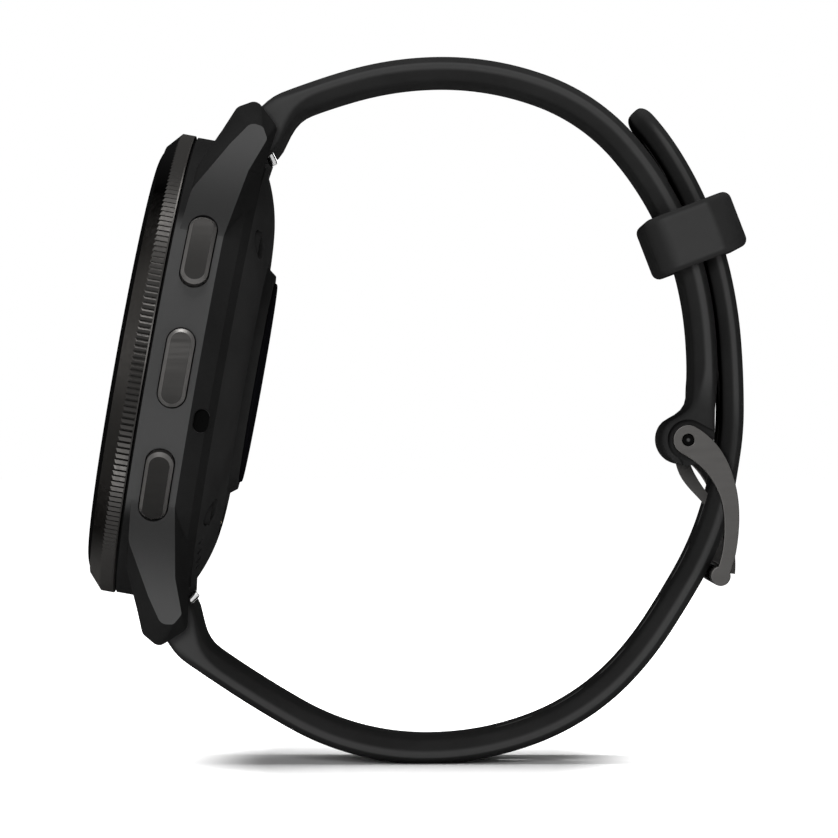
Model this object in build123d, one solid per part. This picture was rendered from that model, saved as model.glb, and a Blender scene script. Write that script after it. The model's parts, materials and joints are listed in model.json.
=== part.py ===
from build123d import *
import math
import os

os.makedirs("parts", exist_ok=True)

# Running watch with its strap buckled, standing on the strap's lowest point.
# Millimetres. The loop of the strap lies in the X-Z plane, the dial looks towards -X,
# and the 3 o'clock side of the case faces -Y.
#
# Case pieces are drawn in the case frame: x to 3 o'clock, y to 12 o'clock, z out of the dial,
# with z = 0 at the rear plane of the bezel. Strap pieces are drawn in the upright loop plane.

# Case frame in the loop plane
case_tilt = 10.2
case_x = -25.14
case_z = 38.34

# Bezel
bezel_overhang = 0.1
bezel_edge_height = 1.37
bezel_height = 2.67
bezel_chamfer = 1.46
bezel_shelf_height = 1.75
bezel_shelf_width = 1.24
knurl_count = 236
knurl_depth = 0.2
knurl_rim = 0.25
bezel_seal_thickness = 0.15
bezel_seal_inset = 0.35
bezel_seal_width = 1.5

# Glass and display
glass_clearance = 0.1
glass_glue = 0.1
glass_flange = 0.5
glass_recess = 0.1
lens_ring_height = 3.15
lens_ring_width = 2.0
lens_ring_flat = 0.4
lens_ring_drop = 0.55
lens_ring_bulge = 0.12
display_thickness = 1.05
display_gap = 0.4

# Case body
case_radius = 22.4
case_wall = 2.2
case_depth = 7.15
band_depth = 4.8
band_taper = 0.8
rear_edge_height = 0.75
rear_taper = 1.9
flange_thickness = 1.25
flange_width = 3.8

# Lugs and strap bars. Each outline runs from the front round the tip to the rear; its middle corners
# are places from the bar's axis, as away from the case and out of the dial, with their rounding.
strap_gap_half = 11.1
lug_root = 13.0
lug_front = 0.6
lug_front_edge = 1.0
lug_rear_inset = 2.8
lug_block_inset = 3.0
lug_block_corners = [(-0.2, 3.5, 2.0), (2.2, 2.5, 1.0), (3.2, 0.75, 0.9), (1.0, -1.6, 0.8)]
lug_flank = 1.5
lug_flank_inset = 5.5
lug_flank_rear = 5.95
lug_flank_corners = [(-1.5, 2.45, 1.6), (0.9, 0.85, 0.9), (0.7, -0.35, 0.5), (-0.4, -0.95, 0.5)]
lug_flank_rounding = 2.0
lug_rear_rounding = 0.5
lug_side_step = 0.2
bar_overhang = 0.9
bar_depth = 6.2
bar_tube_radius = 0.75
bar_bore_radius = 0.5
bar_pin_radius = 0.4
bar_pin_reach = 1.2
bar_running_gap = 0.05
bar_half_length = 9.9
bar_core = 0.4
bar_fixed_shift = 2.4
bar_pin_end_gap = 0.1
tip_body_inset = 0.2
release_travel = 1.3
lever_place = 7.0
lever_radius = 0.42
lever_length = 3.1
lever_angle = 217.0
lever_gap = 0.2
lever_slot_margin = 1.0
tip_body_length = 3.7
bar_spring_length = 4.1
bar_spring_wire = 0.09
bar_spring_turns = 9

# Side buttons
button_depth = 2.77
button_length = 7.45
button_width = 2.6
button_stand = 0.75
button_edge = 0.32
button_slot_gap = 0.13
button_travel = 0.45
button_floor_gap = 0.75
button_floor = 1.4
stem_radius = 0.6
stem_gap = 0.05
stem_boss_radius = 1.6
stem_boss_length = 1.0
stem_boss_root = 0.5
stem_tail = 0.65
clip_thickness = 0.3
clip_radius = 1.15
clip_neck = 0.42
clip_gap = 0.05
seal_wire = 0.11
seal_gap = 0.02
switch_depth = 1.3
switch_width = 3.0
switch_height = 2.1
switch_gap = 0.2
button_spread = 30.0
button_angles = {"top_button": button_spread, "middle_button": 0.0, "bottom_button": -button_spread}

# Pressure port on the 3 o'clock side
port_offset = -4.5
port_rise = 1.25
port_length = 2.3
port_height = 1.5
port_recess = 1.0
port_hole_radius = 0.4
port_hole_depth = 4.0
port_mesh_thickness = 0.15
port_mesh_gap = 0.05

# Pressure sensor on the case's flange, behind the port
pressure_width = 2.0
pressure_height = 1.0
pressure_inset = 3.0

# Rear cover and sensor
cover_shoulder_rise = 1.15
cover_shoulder_inset = 2.7
cover_rise = 1.85
cover_floor_rise = 0.45
cover_spigot = 0.75
cover_spigot_wall = 1.0
cover_fit_gap = 0.2
bump_wall = 1.4
bump_slope = 0.7
bump_height = 0.9
window_radius = 9.8
window_stand = 0.3
window_thickness = 0.9
window_gap = 0.1
window_lip = 0.9
window_rounding = 0.24
sensor_board_inset = 0.2
sensor_board_gap = 0.2
sensor_board_thickness = 0.6
led_size = 1.4
led_pitch = 2.2
photodiode_size = 2.4
photodiode_ring = 5.6
photodiode_count = 4
chip_height = 0.6
gasket_width = 0.7
gasket_gap = 0.25
gasket_height = 0.35

# Speaker behind a small grille in the rear cover, near 5 o'clock
grille_inset = 0.9
grille_angle = -62.0
grille_pitch = 5.2
grille_count = 4
grille_radius = 0.32
speaker_gap = 0.4
speaker_length = 7.0
speaker_width = 3.6
speaker_height = 1.4

# Rear screws
screw_count = 4
screw_start = 45.0
screw_radius = 0.55
screw_head_radius = 1.25
screw_head_height = 0.6
screw_length = 2.95
screw_gap = 0.05
screw_seat = 0.4
screw_drive = 0.5
screw_boss_radius = 1.5
screw_boss_length = 1.7

# Charging contacts in the rear cover
contact_margin = 1.0
contact_block_length = 8.2
contact_block_width = 2.8
contact_block_height = 1.8
contact_count = 4
contact_pitch = 1.9
contact_radius = 0.55
contact_stand = 0.12
contact_recess = 0.3

# Inner pieces
chassis_gap = 0.5
chassis_plate = 0.6
chassis_rim = 1.1
chassis_rim_width = 1.1
post_count = 4
post_ring = 13.0
post_radius = 1.0
antenna_inset = 0.1
antenna_width = 1.3
antenna_thickness = 0.4
antenna_sweep = 300
board_inset = 1.7
board_thickness = 0.8
board_drop = 0.4
shield_height = 0.7
shield_length = 9.0
shield_width = 7.0
shield_gap = 1.5
battery_length = 24.0
battery_width = 21.0
battery_thickness = 3.1
battery_gap = 0.1
motor_radius = 1.5
motor_length = 8.0
motor_gap = 0.3
flex_thickness = 0.15
flex_width = 8.0
flex_reach = 2.5
flex_inset = 1.4
flex_slot_gap = 0.3
flex_slot_depth = 0.8
flex_gap = 0.05
sensor_flex_width = 4.0
sensor_flex_gap = 0.5

# Strap: thickness, width and the gap kept between layers
strap_thickness = 2.3
tail_thickness = 2.04
layer_gap = 0.3
strap_side_gap = 0.3
tail_width = 19.0
bulb_radius = 2.05
bulb_gap = 0.3
root_along = 1.45
root_outward = 1.8
root_length = 2.0

# Where the centre line of the strap passes round the wrist, as places and headings in the loop plane
crown_x = 2.6
crown_z = 66.6
root_heading_upper = 24.0
shoulder_x = 20.3
shoulder_z = 59.3
shoulder_heading = -49.5
keeper_arc_radius = 30.7
keeper_arc_turn = -28.0
side_x = 27.8
side_z = 37.5
pin_x = 26.04
pin_z = 31.06
pin_heading = -122.0
root_heading_lower = -37.0
sole_x = 1.0
sole_z = 1.15
heel_x = 20.42
heel_z = 9.19
heel_heading = 48.0
bend_x = 26.2
bend_z = 17.6
bend_heading = 60.0
pass_x = 29.5
pass_z = 26.0
pass_heading = 78.0
outside_x = 30.5
outside_z = 34.0

# Tail tip and adjustment slots
tip_fillet = 6.0
tip_arc_radius = 30.0
tip_turn = 4.0
tip_lift = 0.4
slot_length = 4.6
slot_width = 2.3
slot_pitch = 6.0
slots_before = 5
slots_after = 6

# Buckle
boss_radius = 2.45
boss_web = 4.6
pin_radius = 0.5
pin_gap = 0.04
arm_inner_gap = 0.4
arm_thickness = 1.5
arm_end_radius = 1.45
arm_recess_gap = 0.5
arm_side_gap = 0.15
arm_widths = [2.9, 2.7, 2.3, 1.9, 1.6, 1.45, 1.35, 1.3, 1.3]
frame_reach_x = 3.1
frame_reach_z = 13.0
arm_belly_x = 4.15
arm_belly_z = 7.4
arm_belly_heading = -89.0
arm_start_heading = -28.0
arm_end_heading = -118.0
crossbar_radius = 0.95
tongue_width = 1.4
tongue_thickness = 0.8
tongue_root_widths = [1.3, 1.3, 1.3, 1.05, 0.82]
tongue_root_share = 0.5
tongue_hole_back = 1.9
tongue_knee_x = 0.3
tongue_knee_z = 3.3
tongue_start_heading = -107.0
tongue_knee_heading = -60.0
tongue_hole_heading = -55.0
tongue_end_heading = -95.0
tongue_eye_radius = 1.25
tongue_slot_gap = 0.35
tongue_rest_gap = 0.12

# Keeper
keeper_length = 5.6
keeper_wall = 1.6
keeper_corner = 2.0
keeper_edge = 0.7
keeper_gap = 0.5
keeper_angle = 21.0

BASE = (Align.CENTER, Align.CENTER, Align.MIN)


# ---------- shared helpers ----------

def disc(radius, low, high):
    return Pos(0, 0, low) * Cylinder(radius, high - low, align=BASE)


def ring(outer, inner, low, high):
    return disc(outer, low, high) - disc(inner, low, high)


def slab(length, width, low, high):
    return Pos(0, 0, low) * Box(length, width, high - low, align=BASE)


def turned(points):
    """Solid of revolution about z, from a closed outline of (radius, height) points."""
    return revolve(Plane.XZ * make_face(Polyline(*points, close=True)), Axis.Z)


def around(count, radius, piece, start=0):
    """Copies of a piece on a circle about z, as separate solids."""
    turn = 360 / count
    return [Rot(0, 0, start + turn * n) * Pos(radius, 0, 0) * piece for n in range(count)]


def fused(shapes):
    total = shapes[0]
    for shape in shapes[1:]:
        total = total + shape
    return total


# ---------- centre lines made of tangent arcs ----------

def direction(heading):
    angle = math.radians(heading)
    return Vector(math.cos(angle), 0, math.sin(angle))


def left_of(heading):
    return direction(heading + 90)


def arc_to(start, heading, end):
    """Arc that leaves start along heading and reaches end: start, heading, turn, end."""
    chord = end - start
    chord_heading = math.degrees(math.atan2(chord.Z, chord.X))
    half_turn = (chord_heading - heading + 180) % 360 - 180
    return start, heading, 2 * half_turn, end


def arc_by(start, heading, radius, turn):
    half = math.radians(abs(turn) / 2)
    chord = 2 * radius * math.sin(half)
    return start, heading, turn, start + direction(heading + turn / 2) * chord


def biarc(start, heading, end, end_heading):
    """Two tangent arcs from one place and heading to another."""
    first = direction(heading)
    last = direction(end_heading)
    across = end - start
    spread = 2 * (1 - first.dot(last))
    along = across.dot(first + last)
    reach = (math.sqrt(along ** 2 + spread * across.dot(across)) - along) / spread
    middle = (start + end + (first - last) * reach) * 0.5
    one = arc_to(start, heading, middle)
    return [one, arc_to(middle, heading + one[2], end)]


def arc_length(arc):
    start, heading, turn, end = arc
    half = math.radians(abs(turn) / 2)
    return (end - start).length * half / math.sin(half)


def point_on(arc, share, offset):
    """Point at a share of the arc's length, offset to the left, with its heading."""
    start, heading, turn, end = arc
    half = math.radians(turn / 2)
    radius = (end - start).length / (2 * math.sin(half))
    centre = start + left_of(heading) * radius
    now = heading + turn * share
    return centre - left_of(now) * (radius - offset), now


def offset_edge(arc, offset):
    stops = [point_on(arc, share, offset)[0] for share in (0, 0.5, 1)]
    return ThreePointArc(*stops)


def station(path, distance):
    """Place and heading at a distance along a path of arcs."""
    for arc in path:
        length = arc_length(arc)
        if distance <= length:
            return point_on(arc, distance / length, 0)
        distance -= length
    return point_on(path[-1], 1, 0)


def band_face(path, left, right):
    """Face between two offsets of a path."""
    near = [offset_edge(arc, left) for arc in path]
    far = [offset_edge(arc, right) for arc in path]
    ends = [Line(near[0] @ 0, far[0] @ 0), Line(near[-1] @ 1, far[-1] @ 1)]
    return make_face(near + far + ends)


def tapered_face(path, widths, share=1.0):
    """Face along a share of a path, as wide as each of the evenly spaced widths in turn."""
    reach = share * sum(arc_length(arc) for arc in path)
    left = []
    right = []
    for n, width in enumerate(widths):
        place, heading = station(path, reach * n / (len(widths) - 1))
        left.append(place + left_of(heading) * (width / 2))
        right.append(place - left_of(heading) * (width / 2))
    ends = [Line(left[0], right[0]), Line(left[-1], right[-1])]
    return make_face([Spline(*left), Spline(*right)] + ends)


def across_y(face, half_width):
    return extrude(face, amount=half_width, dir=(0, 1, 0), both=True)


def prism_y(points, low, high):
    """Prism along y over a closed outline of (x, z) places."""
    outline = make_face(Polyline(*[(x, low, z) for x, z in points], close=True))
    return extrude(outline, amount=high - low, dir=(0, 1, 0))


def rod_y(radius, place, low, high):
    return Pos(place.X, (low + high) / 2, place.Z) * Rot(90, 0, 0) * Cylinder(radius, high - low)


# ---------- places worked out from the driving values ----------

case_bore = case_radius - case_wall
bezel_radius = case_radius + bezel_overhang
bezel_top_radius = bezel_radius - bezel_chamfer
bezel_shelf_radius = bezel_top_radius - bezel_shelf_width
chassis_radius = case_bore - chassis_gap
board_radius = chassis_radius - board_inset
flex_wall = flex_inset - chassis_radius
bar_radius_place = case_radius + bar_overhang
case_place = Location(
    Plane(
        origin=(case_x, 0, case_z),
        x_dir=(0, -1, 0),
        z_dir=(-math.cos(math.radians(case_tilt)), 0, math.sin(math.radians(case_tilt))),
    )
)
strap_half = strap_gap_half - strap_side_gap
tail_half = tail_width / 2
display_bottom = bezel_shelf_height + glass_glue - display_thickness
lens_radius = bezel_top_radius - 2 * glass_clearance
glass_height = lens_ring_height - glass_recess
chassis_top = display_bottom - chassis_rim + chassis_plate
chassis_bottom = chassis_top - chassis_plate
board_top = chassis_bottom - board_drop
board_bottom = board_top - board_thickness
battery_top = board_bottom - shield_height - battery_gap
flange_bore = case_bore - flange_width
flange_front = flange_thickness - case_depth
screw_ring = (case_bore + flange_bore) / 2
port_depth = case_depth - port_rise
cover_radius = case_radius - rear_taper
cover_floor = case_depth + cover_floor_rise
cover_rear = case_depth + cover_rise
bump_radius = window_radius + bump_wall
sensor_board_radius = window_radius - sensor_board_inset
sensor_board_front = -cover_floor - sensor_board_gap
grille_ring = cover_radius - grille_inset
speaker_ring = case_bore - speaker_gap - speaker_width / 2
contact_place = -(bump_radius + contact_margin + contact_block_width / 2)
gasket_radius = screw_ring - screw_radius - gasket_gap


def in_loop(x, y, z):
    """A case-frame point as a place in the loop plane's frame."""
    moved = case_place * Pos(x, y, z)
    return moved.position


bar_socket_end = strap_gap_half + bar_pin_reach + bar_pin_end_gap
bar_upper = in_loop(0, bar_radius_place, -bar_depth)
bar_lower = in_loop(0, -bar_radius_place, -bar_depth)
crown = Vector(crown_x, 0, crown_z)
shoulder = Vector(shoulder_x, 0, shoulder_z)
side = Vector(side_x, 0, side_z)
pin = Vector(pin_x, 0, pin_z)
sole = Vector(sole_x, 0, sole_z)
heel = Vector(heel_x, 0, heel_z)
bend = Vector(bend_x, 0, bend_z)
passing = Vector(pass_x, 0, pass_z)
outside = Vector(outside_x, 0, outside_z)

# Upper strap: from its bar over the crown and down to the buckle pin; its outer side is on the left
upper_root = bar_upper + direction(root_heading_upper) * root_along
upper_root += left_of(root_heading_upper) * root_outward
keeper_arc = arc_by(shoulder, shoulder_heading, keeper_arc_radius, keeper_arc_turn)
keeper_arc_end_heading = shoulder_heading + keeper_arc_turn
upper_path = biarc(upper_root, root_heading_upper, crown, 0)
upper_path += biarc(crown, 0, shoulder, shoulder_heading)
upper_path += [keeper_arc]
upper_path += biarc(keeper_arc[3], keeper_arc_end_heading, side, -90)
upper_path += biarc(side, -90, pin, pin_heading)
upper_length = sum(arc_length(arc) for arc in upper_path)

# Lower strap: from its bar under the sole, through the buckle and up outside the upper strap;
# its outer side is on the right
lower_root = bar_lower + direction(root_heading_lower) * root_along
lower_root -= left_of(root_heading_lower) * root_outward
tail_offset = strap_thickness / 2 + layer_gap + tail_thickness / 2
tail_join, tail_join_heading = point_on(keeper_arc, 1, tail_offset)
tail_top = point_on(keeper_arc, 0, tail_offset + tip_lift)[0]
tail_arc = arc_to(tail_join, tail_join_heading + 180, tail_top)
before_buckle = biarc(lower_root, root_heading_lower, sole, 0)
before_buckle += biarc(sole, 0, heel, heel_heading)
before_buckle += biarc(heel, heel_heading, bend, bend_heading)
before_buckle += biarc(bend, bend_heading, passing, pass_heading)
tail_path = biarc(passing, pass_heading, outside, 90)
tail_path += biarc(outside, 90, tail_join, tail_join_heading + 180)
tail_path += [tail_arc]
tail_end_heading = tail_join_heading + 180 + tail_arc[2]
tail_path += [arc_by(tail_top, tail_end_heading, tip_arc_radius, tip_turn)]
keeper_centre = shoulder - left_of(shoulder_heading) * keeper_arc_radius

# Buckle: arms outside the tail, crossbar on the strap's outer face, tongue through one slot to the crossbar
arm_inner = tail_half + arm_inner_gap
arm_outer = arm_inner + arm_thickness
crossbar = pin + Vector(frame_reach_x, 0, -frame_reach_z)
belly = pin + Vector(arm_belly_x, 0, -arm_belly_z)
arm_path = biarc(pin, arm_start_heading, belly, arm_belly_heading)
arm_path += biarc(belly, arm_belly_heading, crossbar, arm_end_heading)
tongue_station = sum(arc_length(arc) for arc in before_buckle) - tongue_hole_back
tongue_hole = station(before_buckle + tail_path, tongue_station)[0]
tongue_rest = crossbar + Vector(crossbar_radius + tongue_rest_gap + tongue_thickness / 2, 0, 0)
tongue_knee = pin + Vector(tongue_knee_x, 0, -tongue_knee_z)
tongue_path = biarc(pin, tongue_start_heading, tongue_knee, tongue_knee_heading)
tongue_path += biarc(tongue_knee, tongue_knee_heading, tongue_hole, tongue_hole_heading)
tongue_path += biarc(tongue_hole, tongue_hole_heading, tongue_rest, tongue_end_heading)


# ---------- case ----------

def bezel_ring():
    """Bezel with a fine coin edge: grooves run out through its front chamfer."""
    seal_radius = bezel_radius - bezel_seal_inset
    profile = turned([
        (bezel_shelf_radius, 0),
        (seal_radius, 0),
        (bezel_radius, knurl_rim / 2),
        (bezel_radius, bezel_edge_height),
        (bezel_top_radius, bezel_height),
        (bezel_top_radius - glass_clearance, bezel_height),
        (bezel_top_radius - glass_clearance, bezel_shelf_height),
        (bezel_shelf_radius, bezel_shelf_height),
    ])
    corners = []
    for n in range(2 * knurl_count):
        angle = math.pi * n / knurl_count
        radius = bezel_radius - knurl_depth * (n % 2)
        corners.append((radius * math.cos(angle), radius * math.sin(angle)))
    star = extrude(make_face(Polyline(*corners, close=True)), amount=bezel_height)
    edge = (Pos(0, 0, knurl_rim) * star) + disc(bezel_radius, 0, knurl_rim)
    return profile & edge


def lens_glass():
    """Flat glass; its thin flange lies on the bezel's shelf, under the lens ring."""
    low = bezel_shelf_height + glass_glue
    flange = disc(lens_radius, low, low + glass_flange)
    return flange + disc(lens_radius - lens_ring_width - glass_clearance, low, glass_height)


def lens_ring():
    """Black ring over the glass's flange, with a rounded outer edge that stands proud of the bezel."""
    inner = lens_radius - lens_ring_width
    flat = inner + lens_ring_flat
    low = bezel_shelf_height + glass_glue + glass_flange
    shoulder_height = lens_ring_height - lens_ring_drop
    bulge = Vector(1, 0, 1).normalized() * lens_ring_bulge
    middle = (Vector(lens_radius, 0, shoulder_height) + Vector(flat, 0, lens_ring_height)) * 0.5 + bulge
    outline = [
        Line((inner, low), (lens_radius, low)),
        Line((lens_radius, low), (lens_radius, shoulder_height)),
        ThreePointArc((lens_radius, shoulder_height), (middle.X, middle.Z), (flat, lens_ring_height)),
        Line((flat, lens_ring_height), (inner, lens_ring_height)),
        Line((inner, lens_ring_height), (inner, low)),
    ]
    return revolve(Plane.XZ * make_face(outline), Axis.Z)


def lens_adhesive():
    return ring(lens_radius, bezel_shelf_radius, bezel_shelf_height, bezel_shelf_height + glass_glue)


def bezel_seal():
    outer = bezel_radius - bezel_seal_inset
    return ring(outer, outer - bezel_seal_width, -bezel_seal_thickness, 0)


def lug_outline(front, corners, rear):
    """Lug outline as (away from the axis, out of the dial, rounding), between its root places."""
    round_tip = [(bar_radius_place + v, height - bar_depth, rounding) for v, height, rounding in corners]
    return front + round_tip + rear


def lug_section(outline, across):
    """Closed wire of a rounded lug outline; across gives its place to 3 o'clock."""
    wire = Wire(Polyline(*[(across(v), v, height) for v, height, rounding in outline], close=True).edges())
    for v, height, rounding in outline:
        if rounding:
            corner = wire.vertices().sort_by_distance((across(v), v, height))[0]
            wire = wire.fillet_2d(rounding, [corner])
    return wire


def lug():
    """One lug at 1 o'clock: a full block by the strap gap and a tapering flank outside it."""
    block = lug_outline(
        [(lug_root, -lug_front, 0), (case_radius - lug_block_inset, -lug_front_edge, lug_flank_rounding)],
        lug_block_corners,
        [(case_radius - lug_rear_inset, -case_depth, lug_rear_rounding), (lug_root, -case_depth, 0)],
    )
    flank = lug_outline(
        [(lug_root, -lug_front, 0), (case_radius - lug_flank_inset, -lug_front_edge, lug_flank_rounding)],
        lug_flank_corners,
        [(case_radius - lug_rear_inset, -lug_flank_rear, lug_rear_rounding), (lug_root, -band_depth, 0)],
    )
    root_x = math.sqrt(case_radius ** 2 - lug_root ** 2)
    reach = bar_radius_place + lug_block_corners[2][0] - lug_root
    slope = (strap_gap_half + 2 * lug_flank + lug_side_step - root_x) / reach
    near = lug_section(block, lambda v: strap_gap_half)
    middle = lug_section(block, lambda v: strap_gap_half + lug_flank)
    far = lug_section(flank, lambda v: root_x + slope * (v - lug_root))
    inner = Solid.make_loft([near, middle], ruled=True)
    outer = Solid.make_loft([middle, far], ruled=True)
    return Part() + inner + outer


def button_frame(angle):
    """Frame of a button: x along the button, y along the dial normal, z radially out."""
    turn = math.radians(angle)
    outward = (math.cos(turn), math.sin(turn), 0)
    along = (-math.sin(turn), math.cos(turn), 0)
    return Location(Plane(origin=(0, 0, -button_depth), x_dir=along, z_dir=outward))


def pill(length, width, low, high):
    return Pos(0, 0, low) * extrude(SlotOverall(length, width), amount=high - low)


def port_frame():
    reach = math.sqrt(case_radius ** 2 - port_offset ** 2)
    return Location(Plane(origin=(reach, port_offset, -port_depth), x_dir=(0, 1, 0), z_dir=(1, 0, 0)))


def bar_cut(radius, half_length, sign):
    return Pos(0, sign * bar_radius_place, -bar_depth) * Rot(0, 90, 0) * Cylinder(radius, 2 * half_length)


def mid_case():
    body = turned([
        (0, -bezel_seal_thickness),
        (case_radius, -bezel_seal_thickness),
        (case_radius, -band_depth),
        (case_radius - band_taper, rear_edge_height - case_depth),
        (case_radius - rear_taper, -case_depth),
        (0, -case_depth),
    ])
    one = lug()
    pair = one + mirror(one, about=Plane.YZ)
    body = body + pair + mirror(pair, about=Plane.XZ)
    body -= disc(case_bore, flange_front, bezel_height)
    body -= disc(flange_bore, -2 * case_depth, bezel_height)
    for angle in button_angles.values():
        body += button_frame(angle) * Pos(0, 0, case_bore - stem_boss_length) * Cylinder(
            stem_boss_radius, stem_boss_length + stem_boss_root, align=BASE)
    boss = disc(screw_boss_radius, flange_front, flange_front + screw_boss_length)
    body = fused([body] + around(screw_count, screw_ring, boss, screw_start))
    hole_top = -case_depth + screw_length
    hole = disc(screw_radius + screw_gap, -2 * case_depth, hole_top)
    for cut in around(screw_count, screw_ring, hole, screw_start):
        body -= cut
    for angle in button_angles.values():
        place = button_frame(angle)
        gap = 2 * button_slot_gap
        slot = pill(button_length + gap, button_width + gap, case_radius - button_floor, 2 * case_radius)
        body -= place * slot
        body -= place * disc(stem_radius + stem_gap, case_bore - 2 * stem_boss_length, case_radius)
    for sign in (1, -1):
        body -= bar_cut(bulb_radius + bulb_gap, strap_gap_half, sign)
        body -= bar_cut(bar_pin_radius + bar_running_gap, bar_socket_end, sign)
    body -= port_frame() * pill(port_length, port_height, -port_recess, case_wall)
    body -= port_frame() * disc(port_hole_radius, -port_hole_depth, 0)
    for cut in grille_holes():
        body -= cut
    return body


def port_mesh():
    low = -port_recess
    gap = 2 * port_mesh_gap
    return port_frame() * pill(port_length - gap, port_height - gap, low, low + port_mesh_thickness)


def pressure_sensor():
    place = Pos(case_bore - pressure_inset, port_offset, flange_front)
    return place * Box(pressure_width, pressure_width, pressure_height, align=BASE)


# ---------- display side ----------

def display_panel():
    top = bezel_shelf_height + glass_glue
    return disc(bezel_shelf_radius - display_gap, top - display_thickness, top)


def inner_chassis():
    """Plate that carries the display on its rim and the board on four posts."""
    plate = disc(chassis_radius, chassis_bottom, chassis_top)
    rim = ring(chassis_radius, chassis_radius - chassis_rim_width, chassis_bottom, display_bottom)
    post = disc(post_radius, board_top, chassis_top)
    body = fused([plate, rim] + around(post_count, post_ring, post, 180 / post_count))
    slot = slab(flex_width + 2 * flex_slot_gap, flex_slot_depth, -case_depth, bezel_height)
    return body - Pos(0, flex_wall, 0) * slot


def gnss_antenna():
    """Open ring under the chassis, with its gap at 6 o'clock."""
    outer = chassis_radius - antenna_inset
    band = ring(outer, outer - antenna_width, chassis_bottom - antenna_thickness, chassis_bottom)
    half_gap = math.radians((360 - antenna_sweep) / 2)
    far = 2 * chassis_radius
    wedge = Polyline((0, 0), (-far * math.sin(half_gap), -far), (far * math.sin(half_gap), -far), close=True)
    return band - Pos(0, 0, -case_depth) * extrude(make_face(wedge), amount=2 * case_depth)


def main_board():
    return disc(board_radius, board_bottom, board_top)


def board_shields():
    shield = slab(shield_length, shield_width, board_bottom - shield_height, board_bottom)
    step_x = (shield_length + shield_gap) / 2
    step_y = (shield_width + shield_gap) / 2
    return [Pos(sx * step_x, sy * step_y, 0) * shield for sx in (-1, 1) for sy in (-1, 1)]


def display_flex():
    top = display_bottom - flex_gap
    low = board_top + flex_gap
    upright = Pos(0, flex_wall, 0) * slab(flex_width, flex_thickness, low, top)
    foot = Pos(0, flex_wall + flex_reach / 2, 0) * slab(flex_width, flex_reach, low, low + flex_thickness)
    head = Pos(0, flex_wall + flex_reach / 2, 0) * slab(flex_width, flex_reach, top - flex_thickness, top)
    return upright + foot + head


def battery():
    return slab(battery_width, battery_length, battery_top - battery_thickness, battery_top)


def vibration_motor():
    z = board_bottom - motor_gap - motor_radius
    y = battery_length / 2 + motor_gap + motor_radius
    return Pos(0, y, z) * Rot(0, 90, 0) * Cylinder(motor_radius, motor_length)


def button_switches():
    outer = case_bore - stem_boss_length - stem_tail - button_travel - switch_gap
    box = Box(switch_depth, switch_width, switch_height)
    z = board_bottom - switch_height / 2
    place = Pos(outer - switch_depth / 2, 0, z) * box
    return [Rot(0, 0, angle) * place for angle in button_angles.values()]


# ---------- rear ----------

def rear_cover():
    """Dished cover with a stepped boss that holds the sensor window and its board."""
    ledge = window_radius + window_gap
    window_seat = cover_rear + bump_height + window_stand - window_thickness
    opening = window_radius - window_lip
    board_seat = sensor_board_thickness - sensor_board_front
    board_hole = sensor_board_radius + window_gap
    rim = cover_rear + bump_height
    spigot = flange_bore - cover_fit_gap
    inner = [
        (bump_radius, -cover_rear),
        (bump_radius - bump_slope, -rim),
        (ledge, -rim),
        (ledge, -window_seat),
        (opening, -window_seat),
        (opening, -board_seat),
        (board_hole, -board_seat),
        (board_hole, -cover_floor),
        (spigot - cover_spigot_wall, -cover_floor),
        (spigot - cover_spigot_wall, cover_spigot - case_depth),
        (spigot, cover_spigot - case_depth),
        (spigot, -case_depth),
        (cover_radius, -case_depth),
    ]
    shoulder_place = (cover_radius - cover_shoulder_inset, -case_depth - cover_shoulder_rise)
    dome = ThreePointArc((cover_radius, -case_depth), shoulder_place, (bump_radius, -cover_rear))
    body = revolve(Plane.XZ * make_face([dome, Polyline(*inner)]), Axis.Z)
    seat = -case_depth - screw_seat
    head_hole = disc(screw_head_radius + 2 * screw_gap, -2 * cover_rear, seat)
    shank_hole = disc(screw_radius + screw_gap, -2 * cover_rear, 0)
    for cut in around(screw_count, screw_ring, head_hole + shank_hole, screw_start):
        body -= cut
    body -= rear_gasket()
    for cut in grille_holes():
        body -= cut
    pocket = slab(contact_block_length, contact_block_width, -2 * cover_rear, 0)
    return body - Pos(0, contact_place, 0) * pocket


def grille_holes():
    hole = Pos(grille_ring, 0, 0) * disc(grille_radius, -2 * cover_rear, flange_front)
    first = grille_angle - grille_pitch * (grille_count - 1) / 2
    return [Rot(0, 0, first + grille_pitch * n) * hole for n in range(grille_count)]


def speaker():
    module = slab(speaker_width, speaker_length, flange_front, flange_front + speaker_height)
    return Rot(0, 0, grille_angle) * Pos(speaker_ring, 0, 0) * module


def rear_gasket():
    return ring(gasket_radius, gasket_radius - gasket_width, -case_depth - gasket_height, -case_depth)


def rear_screws():
    seat = -case_depth - screw_seat
    head = disc(screw_head_radius, seat - screw_head_height, seat)
    shank = disc(screw_radius, seat, -case_depth + screw_length - screw_gap)
    drive = extrude(RegularPolygon(screw_drive, 6), amount=screw_head_height / 2)
    screw = head + shank - Pos(0, 0, seat - screw_head_height) * drive
    return around(screw_count, screw_ring, screw, screw_start)


def sensor_window():
    low = -(cover_rear + bump_height + window_stand)
    glass = disc(window_radius, low, low + window_thickness)
    edge = glass.edges().sort_by(Axis.Z)[0]
    return fillet(edge, window_rounding)


def sensor_board():
    return disc(sensor_board_radius, sensor_board_front - sensor_board_thickness, sensor_board_front)


def sensor_chips(size, radius, count):
    top = sensor_board_front - sensor_board_thickness
    chip = slab(size, size, top - chip_height, top)
    return around(count, radius, chip, 90)


def contact_block():
    low = -cover_rear + contact_recess
    body = slab(contact_block_length, contact_block_width, low, low + contact_block_height)
    for x in contact_places():
        body -= Pos(x, 0, 0) * disc(contact_radius, low - 1, 0)
    return Pos(0, contact_place, 0) * body


def contact_places():
    return [(n - (contact_count - 1) / 2) * contact_pitch for n in range(contact_count)]


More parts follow.
